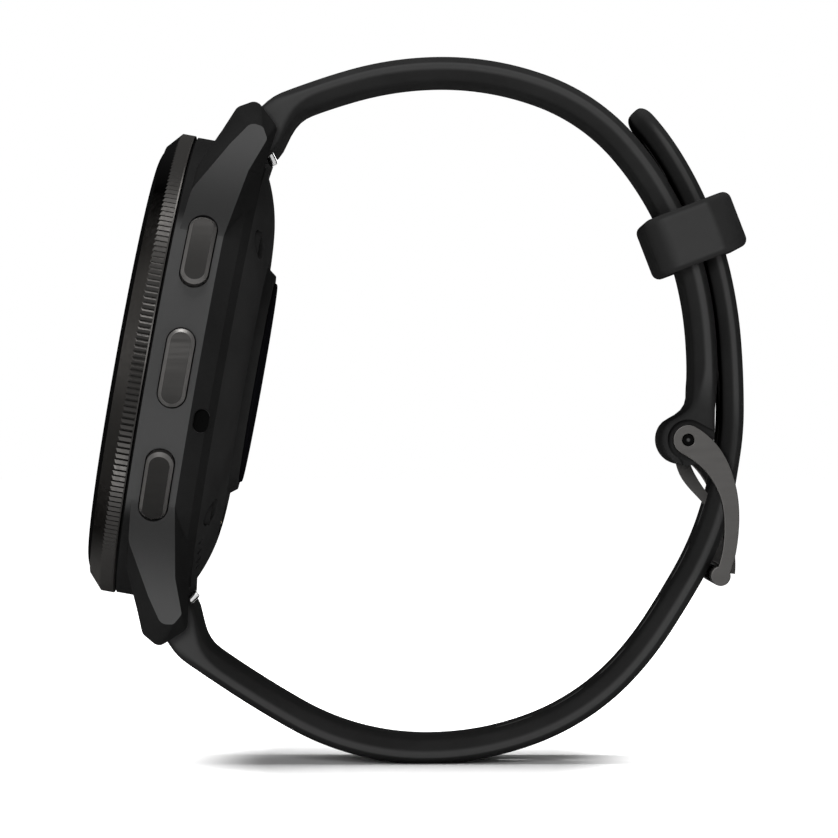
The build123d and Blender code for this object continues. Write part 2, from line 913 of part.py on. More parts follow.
def charging_contacts():
    low = -cover_rear + contact_recess - contact_stand
    pin_solid = disc(contact_radius, low, low + contact_block_height + contact_stand)
    return [Pos(x, contact_place, 0) * pin_solid for x in contact_places()]


def sensor_flex():
    x = battery_width / 2 + sensor_flex_gap
    low = flex_gap - cover_floor
    upright = Pos(x, 0, 0) * slab(flex_thickness, sensor_flex_width, low, board_bottom - flex_gap)
    foot = Pos(x - flex_reach, 0, 0) * slab(2 * flex_reach, sensor_flex_width, low, low + flex_thickness)
    return upright + foot


# ---------- buttons ----------

def button_cap(angle):
    """Pill cap with its stem, grooved for the seal and the retaining clip."""
    bottom = case_radius - button_floor + button_floor_gap
    blank = pill(button_length, button_width, bottom, 2 * case_radius)
    cap = blank & (Rot(90, 0, 0) * Cylinder(case_radius + button_stand, 4 * button_width))
    face = cap.faces().sort_by(Axis.Z)[-1]
    cap = chamfer(face.edges(), button_edge)
    tail = case_bore - stem_boss_length - stem_tail
    cap += disc(stem_radius, tail, bottom)
    clip_top = case_bore - stem_boss_length - clip_gap
    cap -= ring(stem_radius, clip_neck, clip_top - clip_thickness, clip_top)
    seal_z = case_bore - stem_boss_length / 3
    groove = seal_wire + seal_gap
    cap -= ring(2 * stem_radius, stem_radius - 2 * groove, seal_z - groove, seal_z + groove)
    return button_frame(angle) * cap


def button_clip(angle):
    top = case_bore - stem_boss_length - clip_gap
    clip = ring(clip_radius, clip_neck, top - clip_thickness, top)
    clip -= Pos(clip_radius, 0, 0) * slab(2 * clip_radius, clip_neck, 0, case_radius)
    return button_frame(angle) * clip


def button_seal(angle):
    z = case_bore - stem_boss_length / 3
    return button_frame(angle) * Pos(0, 0, z) * Torus(stem_radius - seal_wire, seal_wire)


# ---------- spring bars ----------

def on_bar(piece, sign):
    """Turn a piece drawn along x, with its lever in the -y half, onto a strap bar."""
    placed = Pos(0, bar_radius_place, -bar_depth) * piece
    return placed if sign > 0 else mirror(placed, about=Plane.XZ)


def lever_slot():
    """Window for the lever, from rest to its released place."""
    reach = bulb_radius + lever_slot_margin
    width = 2 * (lever_radius + lever_gap)
    length = width + release_travel
    x = lever_place - release_travel / 2
    window = Pos(x, 0, 0) * Rot(lever_angle, 0, 0) * Pos(0, reach / 2, 0) * Box(length, reach, width)
    return window


def bar_tube():
    tube = Rot(0, 90, 0) * Cylinder(bar_tube_radius, 2 * bar_half_length)
    bore = Rot(0, 90, 0) * Cylinder(bar_bore_radius, bar_half_length - bar_core, align=BASE)
    tube -= Pos(bar_core, 0, 0) * bore
    tube -= mirror(Pos(bar_fixed_shift, 0, 0) * bore, about=Plane.YZ)
    return tube - lever_slot()


def bar_tip():
    """Tip pin: a body in the tube's bore and a thinner nose in the lug."""
    body_start = bar_half_length - tip_body_length - tip_body_inset
    body_radius = bar_bore_radius - bar_running_gap
    body = Pos(body_start, 0, 0) * Rot(0, 90, 0) * Cylinder(body_radius, tip_body_length, align=BASE)
    nose_length = strap_gap_half + bar_pin_reach - body_start
    nose = Pos(body_start, 0, 0) * Rot(0, 90, 0) * Cylinder(bar_pin_radius, nose_length, align=BASE)
    return body + nose


def lever_knob():
    knob = Cylinder(lever_radius, lever_length, align=BASE)
    knob = fillet(knob.edges().sort_by(Axis.Z)[-1], lever_radius * 0.6)
    return Pos(lever_place, 0, 0) * Rot(lever_angle, 0, 0) * Rot(-90, 0, 0) * knob


def bar_spring():
    pitch = bar_spring_length / bar_spring_turns
    radius = bar_bore_radius - bar_running_gap - bar_spring_wire
    coil = Helix(pitch, bar_spring_length - 2 * bar_spring_wire, radius)
    wire = sweep(Plane(origin=coil @ 0, z_dir=coil % 0) * Circle(bar_spring_wire), path=coil)
    return Pos(bar_core + bar_spring_wire, 0, 0) * Rot(0, 90, 0) * wire


# ---------- straps ----------

def web_to(path, distance, centre, radius, outer_sign):
    """Straight flanks from both faces of a strap to a round end, with the round end itself."""
    joint, heading = station(path, distance)
    outward = left_of(heading) * outer_sign
    half = strap_thickness / 2
    before = 1 if distance < arc_length(path[0]) else -1
    corners = [joint + outward * half, joint - outward * half]
    flanks = []
    for corner, turn in zip(corners, (before, -before)):
        to_corner = corner - centre
        swing = math.degrees(math.acos(radius / to_corner.length)) * turn * outer_sign
        facing = math.degrees(math.atan2(to_corner.Z, to_corner.X))
        flanks.append(centre + direction(facing + swing) * radius)
    outline = [corners[0], flanks[0], centre, flanks[1], corners[1]]
    web = across_y(make_face(Polyline(*outline, close=True)), strap_half)
    return web + rod_y(radius, centre, -strap_half, strap_half)


def bar_passage(bar, sign):
    bore = rod_y(bar_tube_radius + bar_running_gap, bar, -2 * strap_half, 2 * strap_half)
    return bore + case_place * on_bar(lever_slot(), sign)


def strap_upper():
    """Short strap: spring bar end, bend over the wrist and the boss round the buckle pin."""
    body = across_y(band_face(upper_path, strap_thickness / 2, -strap_thickness / 2), strap_half)
    body += web_to(upper_path, root_length, bar_upper, bulb_radius, 1)
    body += web_to(upper_path, upper_length - boss_web, pin, boss_radius, 1)
    body -= bar_passage(bar_upper, 1)
    body -= rod_y(pin_radius + pin_gap, pin, -2 * strap_half, 2 * strap_half)
    recess = arm_end_radius + arm_recess_gap
    for sign in (1, -1):
        inner = sign * (arm_inner - arm_side_gap)
        outer = sign * 2 * strap_half
        low = min(inner, outer)
        high = max(inner, outer)
        body -= rod_y(recess, pin, low, high)
        body -= arm_way(recess, low, high)
    slot_half = tongue_width / 2 + tongue_slot_gap
    body -= rod_y(tongue_eye_radius + tongue_slot_gap, pin, -slot_half, slot_half)
    low_x = pin.X - tongue_eye_radius - tongue_slot_gap
    high_x = pin.X + 2 * boss_radius
    low_z = pin.Z - 2 * boss_radius
    way = [(low_x, pin.Z), (low_x, low_z), (high_x, low_z), (high_x, pin.Z)]
    return body - prism_y(way, -slot_half, slot_half)


def arm_way(half, low, high):
    """Open side of the recess, where the buckle arm leaves it."""
    ahead = direction(arm_start_heading) * 3 * boss_radius
    aside = left_of(arm_start_heading) * half
    corners = [pin + aside, pin + aside + ahead, pin - aside + ahead, pin - aside]
    below = pin - Vector(0, 0, 3 * boss_radius) + Vector(boss_radius, 0, 0)
    outline = [(c.X, c.Z) for c in corners[:3]] + [(below.X, below.Z), (corners[3].X, corners[3].Z)]
    return prism_y(outline, low, high)


def strap_slots():
    """Adjustment slots along the long strap; one of them takes the tongue."""
    whole = before_buckle + tail_path
    blank = extrude(SlotOverall(slot_length, slot_width), amount=2 * strap_thickness, both=True)
    cuts = []
    for n in range(-slots_before, slots_after + 1):
        place, heading = station(whole, tongue_station + n * slot_pitch)
        frame = Plane(origin=place, x_dir=direction(heading), z_dir=left_of(heading))
        cuts.append(frame.location * blank)
    return cuts


def strap_lower():
    """Long strap: spring bar end, sole, passage through the buckle and the free tail."""
    half = strap_thickness / 2
    body = across_y(band_face(before_buckle, half, -half), strap_half)
    body += across_y(band_face(tail_path, tail_thickness / 2, -tail_thickness / 2), strap_half)
    body += web_to(before_buckle, root_length, bar_lower, bulb_radius, -1)
    taper_start = lower_root.X + root_length
    taper_end = (sole.X + heel.X) / 2
    far = 2 * outside.X
    plan = [
        (-far, -strap_half), (taper_start, -strap_half), (taper_end, -tail_half), (far, -tail_half),
        (far, tail_half), (taper_end, tail_half), (taper_start, strap_half), (-far, strap_half),
    ]
    body &= Pos(0, 0, -crown.Z) * extrude(make_face(Polyline(*plan, close=True)), amount=3 * crown.Z)
    for cut in strap_slots():
        body -= cut
    body -= bar_passage(bar_lower, -1)
    end, heading = point_on(tail_path[-1], 1, 0)
    tip = Plane(origin=end, x_dir=(0, 1, 0), z_dir=left_of(heading))
    blank = Rectangle(2 * tail_width, 2 * tip_fillet)
    window = RectangleRounded(tail_width, 4 * tip_fillet, tip_fillet)
    shape = Pos(0, tip_fillet, 0) * blank - Pos(0, 2 * tip_fillet, 0) * window
    return body - tip.location * extrude(shape, amount=2 * strap_thickness, both=True)


# ---------- buckle ----------

def buckle_frame():
    """Two arms that taper from their eyes round the tail's sides to the crossbar."""
    pieces = []
    for sign in (1, -1):
        low = min(sign * arm_inner, sign * arm_outer)
        high = max(sign * arm_inner, sign * arm_outer)
        arm = extrude(tapered_face(arm_path, arm_widths), amount=high - low, dir=(0, 1, 0))
        pieces.append(rod_y(arm_end_radius, pin, low, high) + Pos(0, low, 0) * arm)
    bar = rod_y(crossbar_radius, crossbar, -arm_outer, arm_outer)
    frame = fused(pieces + [bar])
    return frame - rod_y(pin_radius + pin_gap, pin, -2 * arm_outer, 2 * arm_outer)


def buckle_tongue():
    half = tongue_width / 2
    blade = across_y(band_face(tongue_path, tongue_thickness / 2, -tongue_thickness / 2), half)
    blade += across_y(tapered_face(tongue_path, tongue_root_widths, tongue_root_share), half)
    eye = rod_y(tongue_eye_radius, pin, -half, half)
    return blade + eye - rod_y(pin_radius + pin_gap, pin, -2 * half, 2 * half)


def buckle_pin():
    return rod_y(pin_radius, pin, -arm_outer, arm_outer)


def keeper_loop():
    """Free loop round both layers, straight along the strap, with rounded outer edges."""
    inner_low = keeper_arc_radius - strap_thickness / 2 - keeper_gap
    inner_high = keeper_arc_radius + tail_offset + tail_thickness / 2 + keeper_gap
    inner_width = 2 * (strap_half + keeper_gap)
    depth = inner_high - inner_low
    middle = (inner_low + inner_high) / 2
    outer = RectangleRounded(inner_width + 2 * keeper_wall, depth + 2 * keeper_wall, keeper_corner)
    block = extrude(outer, amount=keeper_length / 2, both=True)
    rims = block.faces().sort_by(Axis.Z)
    block = fillet(rims[0].edges() + rims[-1].edges(), keeper_edge)
    hole = RectangleRounded(inner_width, depth, keeper_corner - keeper_wall)
    loop = block - extrude(hole, amount=keeper_length, both=True)
    place = keeper_centre + direction(keeper_angle) * middle
    return Plane(origin=place, x_dir=(0, 1, 0), z_dir=direction(keeper_angle - 90)).location * loop


# ---------- build ----------

case_nodes = {
    "mid_case": mid_case(),
    "bezel_ring": bezel_ring(),
    "bezel_seal": bezel_seal(),
    "lens_glass": lens_glass(),
    "lens_ring": lens_ring(),
    "lens_adhesive": lens_adhesive(),
    "display_panel": display_panel(),
    "display_flex": display_flex(),
    "inner_chassis": inner_chassis(),
    "gnss_antenna": gnss_antenna(),
    "main_board": main_board(),
    "board_shields": board_shields(),
    "battery": battery(),
    "vibration_motor": vibration_motor(),
    "button_switches": button_switches(),
    "port_mesh": port_mesh(),
    "pressure_sensor": pressure_sensor(),
    "speaker": speaker(),
    "rear_cover": rear_cover(),
    "rear_gasket": rear_gasket(),
    "rear_screws": rear_screws(),
    "sensor_window": sensor_window(),
    "sensor_board": sensor_board(),
    "sensor_leds": sensor_chips(led_size, led_pitch, 3),
    "sensor_photodiodes": sensor_chips(photodiode_size, photodiode_ring, photodiode_count),
    "sensor_flex": sensor_flex(),
    "contact_block": contact_block(),
    "charging_contacts": charging_contacts(),
}
for name, angle in button_angles.items():
    case_nodes[name + "_cap"] = button_cap(angle)
    case_nodes[name + "_seal"] = button_seal(angle)
    case_nodes[name + "_clip"] = button_clip(angle)
for name, sign in (("upper", 1), ("lower", -1)):
    case_nodes[name + "_bar_tube"] = on_bar(bar_tube(), sign)
    case_nodes[name + "_bar_fixed_tip"] = on_bar(mirror(bar_tip(), about=Plane.YZ), sign)
    case_nodes[name + "_bar_release"] = on_bar(bar_tip() + lever_knob(), sign)
    case_nodes[name + "_bar_spring"] = on_bar(bar_spring(), sign)
loop_nodes = {
    "strap_upper": strap_upper(),
    "strap_lower": strap_lower(),
    "buckle_frame": buckle_frame(),
    "buckle_tongue": buckle_tongue(),
    "buckle_pin": buckle_pin(),
    "keeper_loop": keeper_loop(),
}


def solids_of(shape):
    shapes = shape if isinstance(shape, list) else [shape]
    return [solid for one in shapes for solid in one.solids()]


placed = {}
for name, shape in case_nodes.items():
    placed[name] = [case_place * solid for solid in solids_of(shape)]
for name, shape in loop_nodes.items():
    placed[name] = solids_of(shape)

# The origin goes to the middle of the base of the whole watch
box = Compound([solid for solids in placed.values() for solid in solids]).bounding_box()
home = Pos(-(box.min.X + box.max.X) / 2, 0, -box.min.Z)
for name, solids in placed.items():
    moved = [home * solid for solid in solids]
    shape = moved[0] if len(moved) == 1 else Compound(moved)
    export_step(shape, f"parts/{name}.step")

# Places that the joints and mounts use, in the finished frame
loop_places = {"pin": pin, "keeper centre": keeper_centre, "bar upper": bar_upper, "bar lower": bar_lower}
for name, place in loop_places.items():
    print(name, [round(value, 3) for value in (home * Pos(*place)).position])
case_heights = {"sensor face": -(cover_rear + bump_height + window_stand), "glass face": glass_height}
for name, point in case_heights.items():
    print(name, [round(value, 3) for value in (home * case_place * Pos(0, 0, point)).position])
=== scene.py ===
import json
import math

import bmesh
import bpy
from mathutils import Matrix, Vector


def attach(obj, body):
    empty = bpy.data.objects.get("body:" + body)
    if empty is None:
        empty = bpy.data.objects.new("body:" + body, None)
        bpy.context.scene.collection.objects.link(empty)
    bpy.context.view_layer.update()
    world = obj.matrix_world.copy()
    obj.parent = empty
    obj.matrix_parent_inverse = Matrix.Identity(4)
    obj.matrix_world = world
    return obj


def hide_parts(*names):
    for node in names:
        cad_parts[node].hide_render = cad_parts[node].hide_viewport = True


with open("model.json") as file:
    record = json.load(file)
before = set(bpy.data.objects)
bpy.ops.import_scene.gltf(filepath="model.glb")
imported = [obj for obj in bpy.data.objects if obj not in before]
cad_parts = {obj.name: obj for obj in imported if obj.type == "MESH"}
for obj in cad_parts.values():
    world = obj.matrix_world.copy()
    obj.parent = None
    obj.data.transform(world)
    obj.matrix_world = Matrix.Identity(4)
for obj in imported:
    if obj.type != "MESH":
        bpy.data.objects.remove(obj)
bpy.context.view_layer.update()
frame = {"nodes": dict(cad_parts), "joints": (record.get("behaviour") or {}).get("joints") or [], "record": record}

# ---------- driving values, in millimetres and degrees ----------

MM = 0.001

# The case's place in the loop plane. Its own frame: x along 3 o'clock, y along 12, z out of the dial
case_tilt = 10.2
case_x = -25.14
case_z = 38.34
bar_radius_place = 23.3
bar_depth = 6.2
display_front = 1.85

# Strap sections
strap_half = 10.8
strap_thickness = 2.3
tail_half = 9.5
tail_thickness = 2.04
layer_gap = 0.3
ridge_chamfer = 1.4
ridge_flat = 0.28
ridge_shift = 0.12
lug_chamfer = 0.5
lug_flat = 0.5
boss_chamfer = 0.5
boss_flat = 0.62
edge_round = 0.45
taper_delay = 2.0
thinning_reach = 3.0
tip_fillet = 6.0
tip_round = 1.3
tip_thinnest = 0.35

# Strap ends round the spring bars
bulb_radius = 2.05
root_along = 1.45
root_outward = 1.8
root_blend = 4.6
root_blend_outer = 2.1
root_touch_outer = 96.0
root_touch_inner = 62.0
ridge_before_blend = 4.0
ridge_after_blend = 1.0
bar_bore = 0.82
lever_place = 6.35
lever_window_length = 2.8
lever_window_width = 1.4
lever_angle = 217.0
lever_reach = 3.05

# Short strap: crown, shoulder, keeper stretch, side and pin
root_heading_upper = 24.0
crown = Vector((2.6, 66.6))
shoulder = Vector((20.3, 59.3))
shoulder_heading = -49.5
keeper_arc_radius = 30.7
keeper_arc_turn = -28.0
side = Vector((27.8, 37.5))
pin = Vector((26.04, 31.06))
pin_heading = -122.0

# Long strap: sole, heel, bend, passage through the buckle and tail
root_heading_lower = -37.0
sole = Vector((1.0, 1.15))
heel = Vector((20.42, 9.19))
heel_heading = 48.0
bend = Vector((26.2, 17.6))
bend_heading = 60.0
passing = Vector((29.5, 26.0))
pass_heading = 78.0
outside = Vector((30.5, 34.0))
tip_arc_radius = 30.0
tip_turn = 4.0
tip_lift = 0.4

# Adjustment slots
slot_length = 4.6
slot_width = 2.3
slot_pitch = 6.0
slots_before = 5
slots_after = 6
tongue_back = 1.9

# Boss round the buckle pin
boss_radius = 2.45
boss_blend = 5.4
boss_touch_outer = 75.0
boss_touch_inner = 60.0
boss_ease_from = 8.0
boss_ease_to = 2.0
pin_bore = 0.54
arm_inner = 9.75
arm_recess = 1.95
arm_start_heading = -28.0
tongue_notch_half = 1.05
tongue_notch_radius = 1.6

# Keeper
keeper_length = 5.6
keeper_wall = 1.6
keeper_corner = 2.0
keeper_gap = 0.5
keeper_angle = 21.0
keeper_edge = 0.8
keeper_inner_edge = 0.2
keeper_smooth_angle = 60.0
keeper_lit_shares = (0.1, 0.77)
keeper_lit_fades = (1.5, 0.6)

# Rubbed edges of the buckle
worn_edge = 0.12
worn_angle = 60.0
same_flat_angle = 0.5

# Mesh density and cleaning
station_step = 0.7
corner_steps = 5
corner_share = 0.45
face_spans = 8
circle_steps = 48
round_end_steps = 14
tip_steps = 16
slot_steps = 24
smooth_angle = 35.0
same_point = 0.002
no_edge = 0.001

# Dial: heights above the display, radii and half widths, and clock angles
print_gap = 0.01
print_height = 0.04
hand_gap = 0.01
hand_thickness = 0.03
mark_outer = 17.6
hour_mark_inner = 15.6
hour_mark_half = 0.35
minute_mark_inner = 16.8
minute_mark_half = 0.12
number_radius = 13.0
number_size = 3.6
arc_inner = 9.2
arc_outer = 10.0
arc_step = 4.0
distance_arc = (200, 330)
pace_arc = (20, 120)

# Hands: clock angle, tail, tip, and half widths there
hour_hand = (305, -2.0, 8.6, 0.55, 0.4)
minute_hand = (54, -2.4, 13.2, 0.42, 0.3)
sweep_hand = (190, -3.5, 14.6, 0.14, 0.1)

# Surfaces: limits that noise stays inside, its scale per metre for the drift of colour, its detail for
# the grain, the spread of roughness, bump strength, and the stretch of a brushed grain
noise_low = 0.3
noise_high = 0.7
drift_scale = 160.0
grain_detail = 4.0
rough_spread = 0.06
bump_strength = 0.5
brushed = (0.06, 1.0, 1.0)

# ---------- values of the stage, in metres and watts ----------

floor_reach = 3.0
floor_steps = 64
floor_shade = 0.9
world_light = 0.1

# The floor's shadow shows to the camera in an oval, longer into the picture, between two radii
shadow_oval = (1, 0.3, 0)
shadow_whole = 0.014
shadow_gone = 0.0245

camera_x = 0.00034
camera_y = -0.656
camera_z = 0.03306
camera_lens = 290.2
camera_sensor = 36.0
camera_clip = 0.01

# Lamps: name, place, diameter and power, all turned to one spot
lamp_target = (0.0, 0.0, 0.035)
lamps = (
    ("front_key", (-0.12, -0.62, 0.16), 0.22, 2.4),
    ("top_soft", (0.0, 0.02, 0.55), 0.3, 3.2),
    ("rear_fill", (0.3, 0.5, 0.2), 0.35, 1.4),
    ("dial_fill", (-0.55, 0.1, 0.2), 0.3, 0.35),
)

# ---------- values from the frame and from those above ----------

joints = {joint["name"]: joint for joint in frame["joints"]}

# Row-frame x of the loop plane's origin
home = joints["buckle_swing"]["pos_m"][0] / MM - pin.x

past_sides = 2 * strap_half

# Row-frame directions: along the wrist, towards 12 o'clock and out of the dial
tilt = math.radians(case_tilt)
outward = (0, 1, 0)
case_up = Vector((math.sin(tilt), 0, math.cos(tilt)))
case_axis = Vector((-math.cos(tilt), 0, math.sin(tilt)))


# ---------- arcs in the loop plane ----------

def ease(low, high, value):
    """0 below low, 1 above high, smooth between."""
    share = min(1.0, max(0.0, (value - low) / (high - low)))
    return share * share * (3 - 2 * share)


def mix(a, b, share):
    return a + (b - a) * share


def direction(angle):
    return Vector((math.cos(math.radians(angle)), math.sin(math.radians(angle))))


def left_of(angle):
    return direction(angle + 90)


def arc_to(start, heading, end):
    """Arc (start, heading, turn, end) that leaves start along heading and reaches end."""
    chord = end - start
    half_turn = (math.degrees(math.atan2(chord.y, chord.x)) - heading + 180) % 360 - 180
    return start, heading, 2 * half_turn, end


def arc_by(start, heading, radius, turn):
    """Arc of a radius that turns by an angle."""
    chord = 2 * radius * math.sin(math.radians(abs(turn) / 2))
    return start, heading, turn, start + direction(heading + turn / 2) * chord


def biarc(start, heading, end, end_heading):
    """Two tangent arcs from one point and heading to another."""
    first = direction(heading)
    last = direction(end_heading)
    across = end - start
    spread = 2 * (1 - first.dot(last))
    along = across.dot(first + last)
    reach = (math.sqrt(along ** 2 + spread * across.dot(across)) - along) / spread
    middle = (start + end + (first - last) * reach) * 0.5
    one = arc_to(start, heading, middle)
    return [one, arc_to(middle, heading + one[2], end)]


def arc_radius(arc):
    return (arc[3] - arc[0]).length / (2 * math.sin(math.radians(arc[2] / 2)))


def arc_length(arc):
    return abs(math.radians(arc[2]) * arc_radius(arc))


def point_on(arc, share, offset=0.0):
    """Point and heading at a share of an arc, moved to its left by offset."""
    radius = arc_radius(arc)
    centre = arc[0] + left_of(arc[1]) * radius
    now = arc[1] + arc[2] * share
    return centre - left_of(now) * (radius - offset), now


def path_length(path):
    return sum(arc_length(arc) for arc in path)


def station(path, distance):
    """Point and heading at a distance along a path, which runs on straight past its ends."""
    if distance < 0:
        start, heading = point_on(path[0], 0)
        return start + direction(heading) * distance, heading
    for arc in path:
        length = arc_length(arc)
        if distance <= length:
            return point_on(arc, distance / length)
        distance -= length
    end, heading = point_on(path[-1], 1)
    return end + direction(heading) * distance, heading


def in_loop(up, out):
    """Loop-plane place of a point of the case's middle plane."""
    x = case_x - out * math.cos(tilt) + up * math.sin(tilt)
    return Vector((x, case_z + out * math.sin(tilt) + up * math.cos(tilt)))


def place(point, y):
    """Row-frame place, in metres, of a loop-plane point at a distance y from the middle plane."""
    return Vector(((point.x + home) * MM, y * MM, point.y * MM))


def root_of(bar, heading, outer_sign):
    """Start of a strap's path beside its spring bar."""
    return bar + direction(heading) * root_along + left_of(heading) * (outer_sign * root_outward)


bar_upper = in_loop(bar_radius_place, -bar_depth)
bar_lower = in_loop(-bar_radius_place, -bar_depth)
upper_root = root_of(bar_upper, root_heading_upper, 1)
keeper_arc = arc_by(shoulder, shoulder_heading, keeper_arc_radius, keeper_arc_turn)
upper_path = biarc(upper_root, root_heading_upper, crown, 0)
upper_path += biarc(crown, 0, shoulder, shoulder_heading)
upper_path += [keeper_arc]
upper_path += biarc(keeper_arc[3], shoulder_heading + keeper_arc_turn, side, -90)
upper_path += biarc(side, -90, pin, pin_heading)
upper_length = path_length(upper_path)

lower_root = root_of(bar_lower, root_heading_lower, -1)
tail_offset = strap_thickness / 2 + layer_gap + tail_thickness / 2
tail_join, tail_join_heading = point_on(keeper_arc, 1, tail_offset)
tail_top = point_on(keeper_arc, 0, tail_offset + tip_lift)[0]
tail_arc = arc_to(tail_join, tail_join_heading + 180, tail_top)
lower_path = biarc(lower_root, root_heading_lower, sole, 0)
lower_path += biarc(sole, 0, heel, heel_heading)
lower_path += biarc(heel, heel_heading, bend, bend_heading)
lower_path += biarc(bend, bend_heading, passing, pass_heading)
buckle_station = path_length(lower_path)
lower_path += biarc(passing, pass_heading, outside, 90)
lower_path += biarc(outside, 90, tail_join, tail_join_heading + 180)
lower_path += [tail_arc]
lower_path += [arc_by(tail_top, tail_join_heading + 180 + tail_arc[2], tip_arc_radius, tip_turn)]
lower_length = path_length(lower_path)
keeper_centre = shoulder - left_of(shoulder_heading) * keeper_arc_radius
keeper_inner_low = keeper_arc_radius - strap_thickness / 2 - keeper_gap
keeper_inner_high = keeper_arc_radius + tail_offset + tail_thickness / 2 + keeper_gap
keeper_span = (keeper_inner_low - keeper_wall, keeper_inner_high + keeper_wall)
keeper_lit_from, keeper_lit_to = (mix(*keeper_span, share) for share in keeper_lit_shares)


# ---------- mesh helpers ----------

def mesh_object(name, points, faces):
    mesh = bpy.data.meshes.new(name)
    mesh.from_pydata(points, [], faces)
    mesh.update()
    made = bpy.data.objects.new(name, mesh)
    bpy.context.scene.collection.objects.link(made)
    return made


def tidy_mesh(piece, sharp=smooth_angle):
    """Merge doubled points, turn faces outward, and shade smooth up to the sharp angle."""
    work = bmesh.new()
    work.from_mesh(piece.data)
    bmesh.ops.remove_doubles(work, verts=work.verts, dist=same_point * MM)
    bmesh.ops.dissolve_degenerate(work, edges=work.edges, dist=no_edge * MM)
    bmesh.ops.recalc_face_normals(work, faces=work.faces)
    for face in work.faces:
        face.smooth = True
    for edge in work.edges:
        edge.smooth = len(edge.link_faces) == 2 and edge.calc_face_angle() < math.radians(sharp)
    work.to_mesh(piece.data)
    work.free()
    return piece


def rounded(corners, radius, steps):
    """Closed outline with each corner eased by a curve of a fixed number of points."""
    ring = []
    for n, corner in enumerate(corners):
        before = corners[n - 1] - corner
        after = corners[(n + 1) % len(corners)] - corner
        start = corner + before * min(corner_share, radius / max(before.length, 1e-6))
        end = corner + after * min(corner_share, radius / max(after.length, 1e-6))
        for step in range(steps):
            t = step / (steps - 1)
            ring.append(start * (1 - t) ** 2 + corner * (2 * t * (1 - t)) + end * t ** 2)
    return ring


def skin(rings, endless=False):
    """Points and faces of a tube through rings of equal count, with end caps unless it meets itself."""
    points = [point for ring in rings for point in ring]
    count = len(rings[0])
    faces = []
    for row in range(len(rings) if endless else len(rings) - 1):
        here = row * count
        there = (row + 1) % len(rings) * count
        for n in range(count):
            after = (n + 1) % count
            faces.append((here + n, here + after, there + after, there + n))
    if not endless:
        faces.append(tuple(range(count)))
        faces.append(tuple(range(len(points) - count, len(points))))
    return points, faces


def prism(outline, low, high):
    """Closed solid between two y planes over a loop-plane outline."""
    return skin([[place(point, low) for point in outline], [place(point, high) for point in outline]])


def circle(centre, radius):
    return [centre + direction(360 * n / circle_steps) * radius for n in range(circle_steps)]


def joined(name, solids):
    """One piece from closed solids."""
    points = []
    faces = []
    for solid_points, solid_faces in solids:
        base = len(points)
        points += solid_points
        faces += [tuple(base + n for n in face) for face in solid_faces]
    return tidy_mesh(mesh_object(name, points, faces))


def cut(piece, solids):
    """Take closed solids away from a piece."""
    tool = joined(piece.name + "_cuts", solids)
    boolean = piece.modifiers.new("cuts", "BOOLEAN")
    boolean.operation = "DIFFERENCE"
    boolean.solver = "EXACT"
    boolean.use_self = True
    boolean.object = tool
    depsgraph = bpy.context.evaluated_depsgraph_get()
    done = bpy.data.meshes.new_from_object(piece.evaluated_get(depsgraph))
    piece.modifiers.clear()
    piece.data = done
    bpy.data.objects.remove(tool)


# ---------- strap sections ----------

def strap_ring(path, distance, outer_sign, section):
    """Row-frame ring of points of one section of a strap."""
    half, top, bottom, chamfer, flat, shift = section
    centre, heading = station(path, distance)
    outer = left_of(heading) * outer_sign
    middle = (top + bottom) / 2 + (top - bottom) * shift
    reach = (top - bottom) / 2 * flat
    near = [
        Vector((half - chamfer, top)), Vector((half, middle + reach)),
        Vector((half, middle - reach)), Vector((half - chamfer, bottom)),
    ]
    far = [Vector((-point.x, point.y)) for point in reversed(near)]
    ring = []
    for edge, other in ((near, far), (far, near)):
        ring += rounded(edge + other, edge_round, corner_steps)[:len(edge) * corner_steps]
        gap = other[0] - edge[-1]
        ring += [edge[-1] + gap * ((n + 1) / (face_spans + 1)) for n in range(face_spans)]
    return [place(centre + outer * point.y, point.x) for point in ring]


def round_end(u, corner_u, corner_v, radius, touch):
    """Height of a face where it runs onto a round end: the circle, then its tangent eased into the face."""
    touch_u = radius * math.cos(math.radians(touch))
    if u <= touch_u:
        return math.sqrt(max(0.0, radius ** 2 - u ** 2))
    slope = -1 / math.tan(math.radians(touch))
    base = radius * math.sin(math.radians(touch)) + slope * (u - touch_u)
    return mix(base, corner_v, ease(touch_u, corner_u, u))


def end_stations(centre, radius, inward):
    """Stations from the far side of a round end to its centre, closer together at the far side."""
    turns = [math.radians(90 * n / round_end_steps) for n in range(round_end_steps)]
    return [centre - inward * radius * math.cos(turn) for turn in turns]


def root_faces(distance, half):
    """Outer and inner extent of the strap near its spring bar."""
    u = distance + root_along
    top_blend = root_along + root_blend_outer
    bottom_blend = root_along + root_blend
    top = round_end(u, top_blend, half + root_outward, bulb_radius, root_touch_outer)
    bottom = -round_end(u, bottom_blend, half - root_outward, bulb_radius, root_touch_inner)
    return top - root_outward, bottom - root_outward


def boss_faces(distance):
    """Outer and inner extent of the short strap near the buckle pin."""
    u = upper_length - distance
    half = strap_thickness / 2
    top = round_end(u, boss_blend, half, boss_radius, boss_touch_outer)
    bottom = -round_end(u, boss_blend, half, boss_radius, boss_touch_inner)
    return top, bottom


def past_root(distance):
    """0 near the spring bar, 1 where the strap has its full ridge."""
    return ease(root_blend - ridge_before_blend, root_blend + ridge_after_blend, distance)


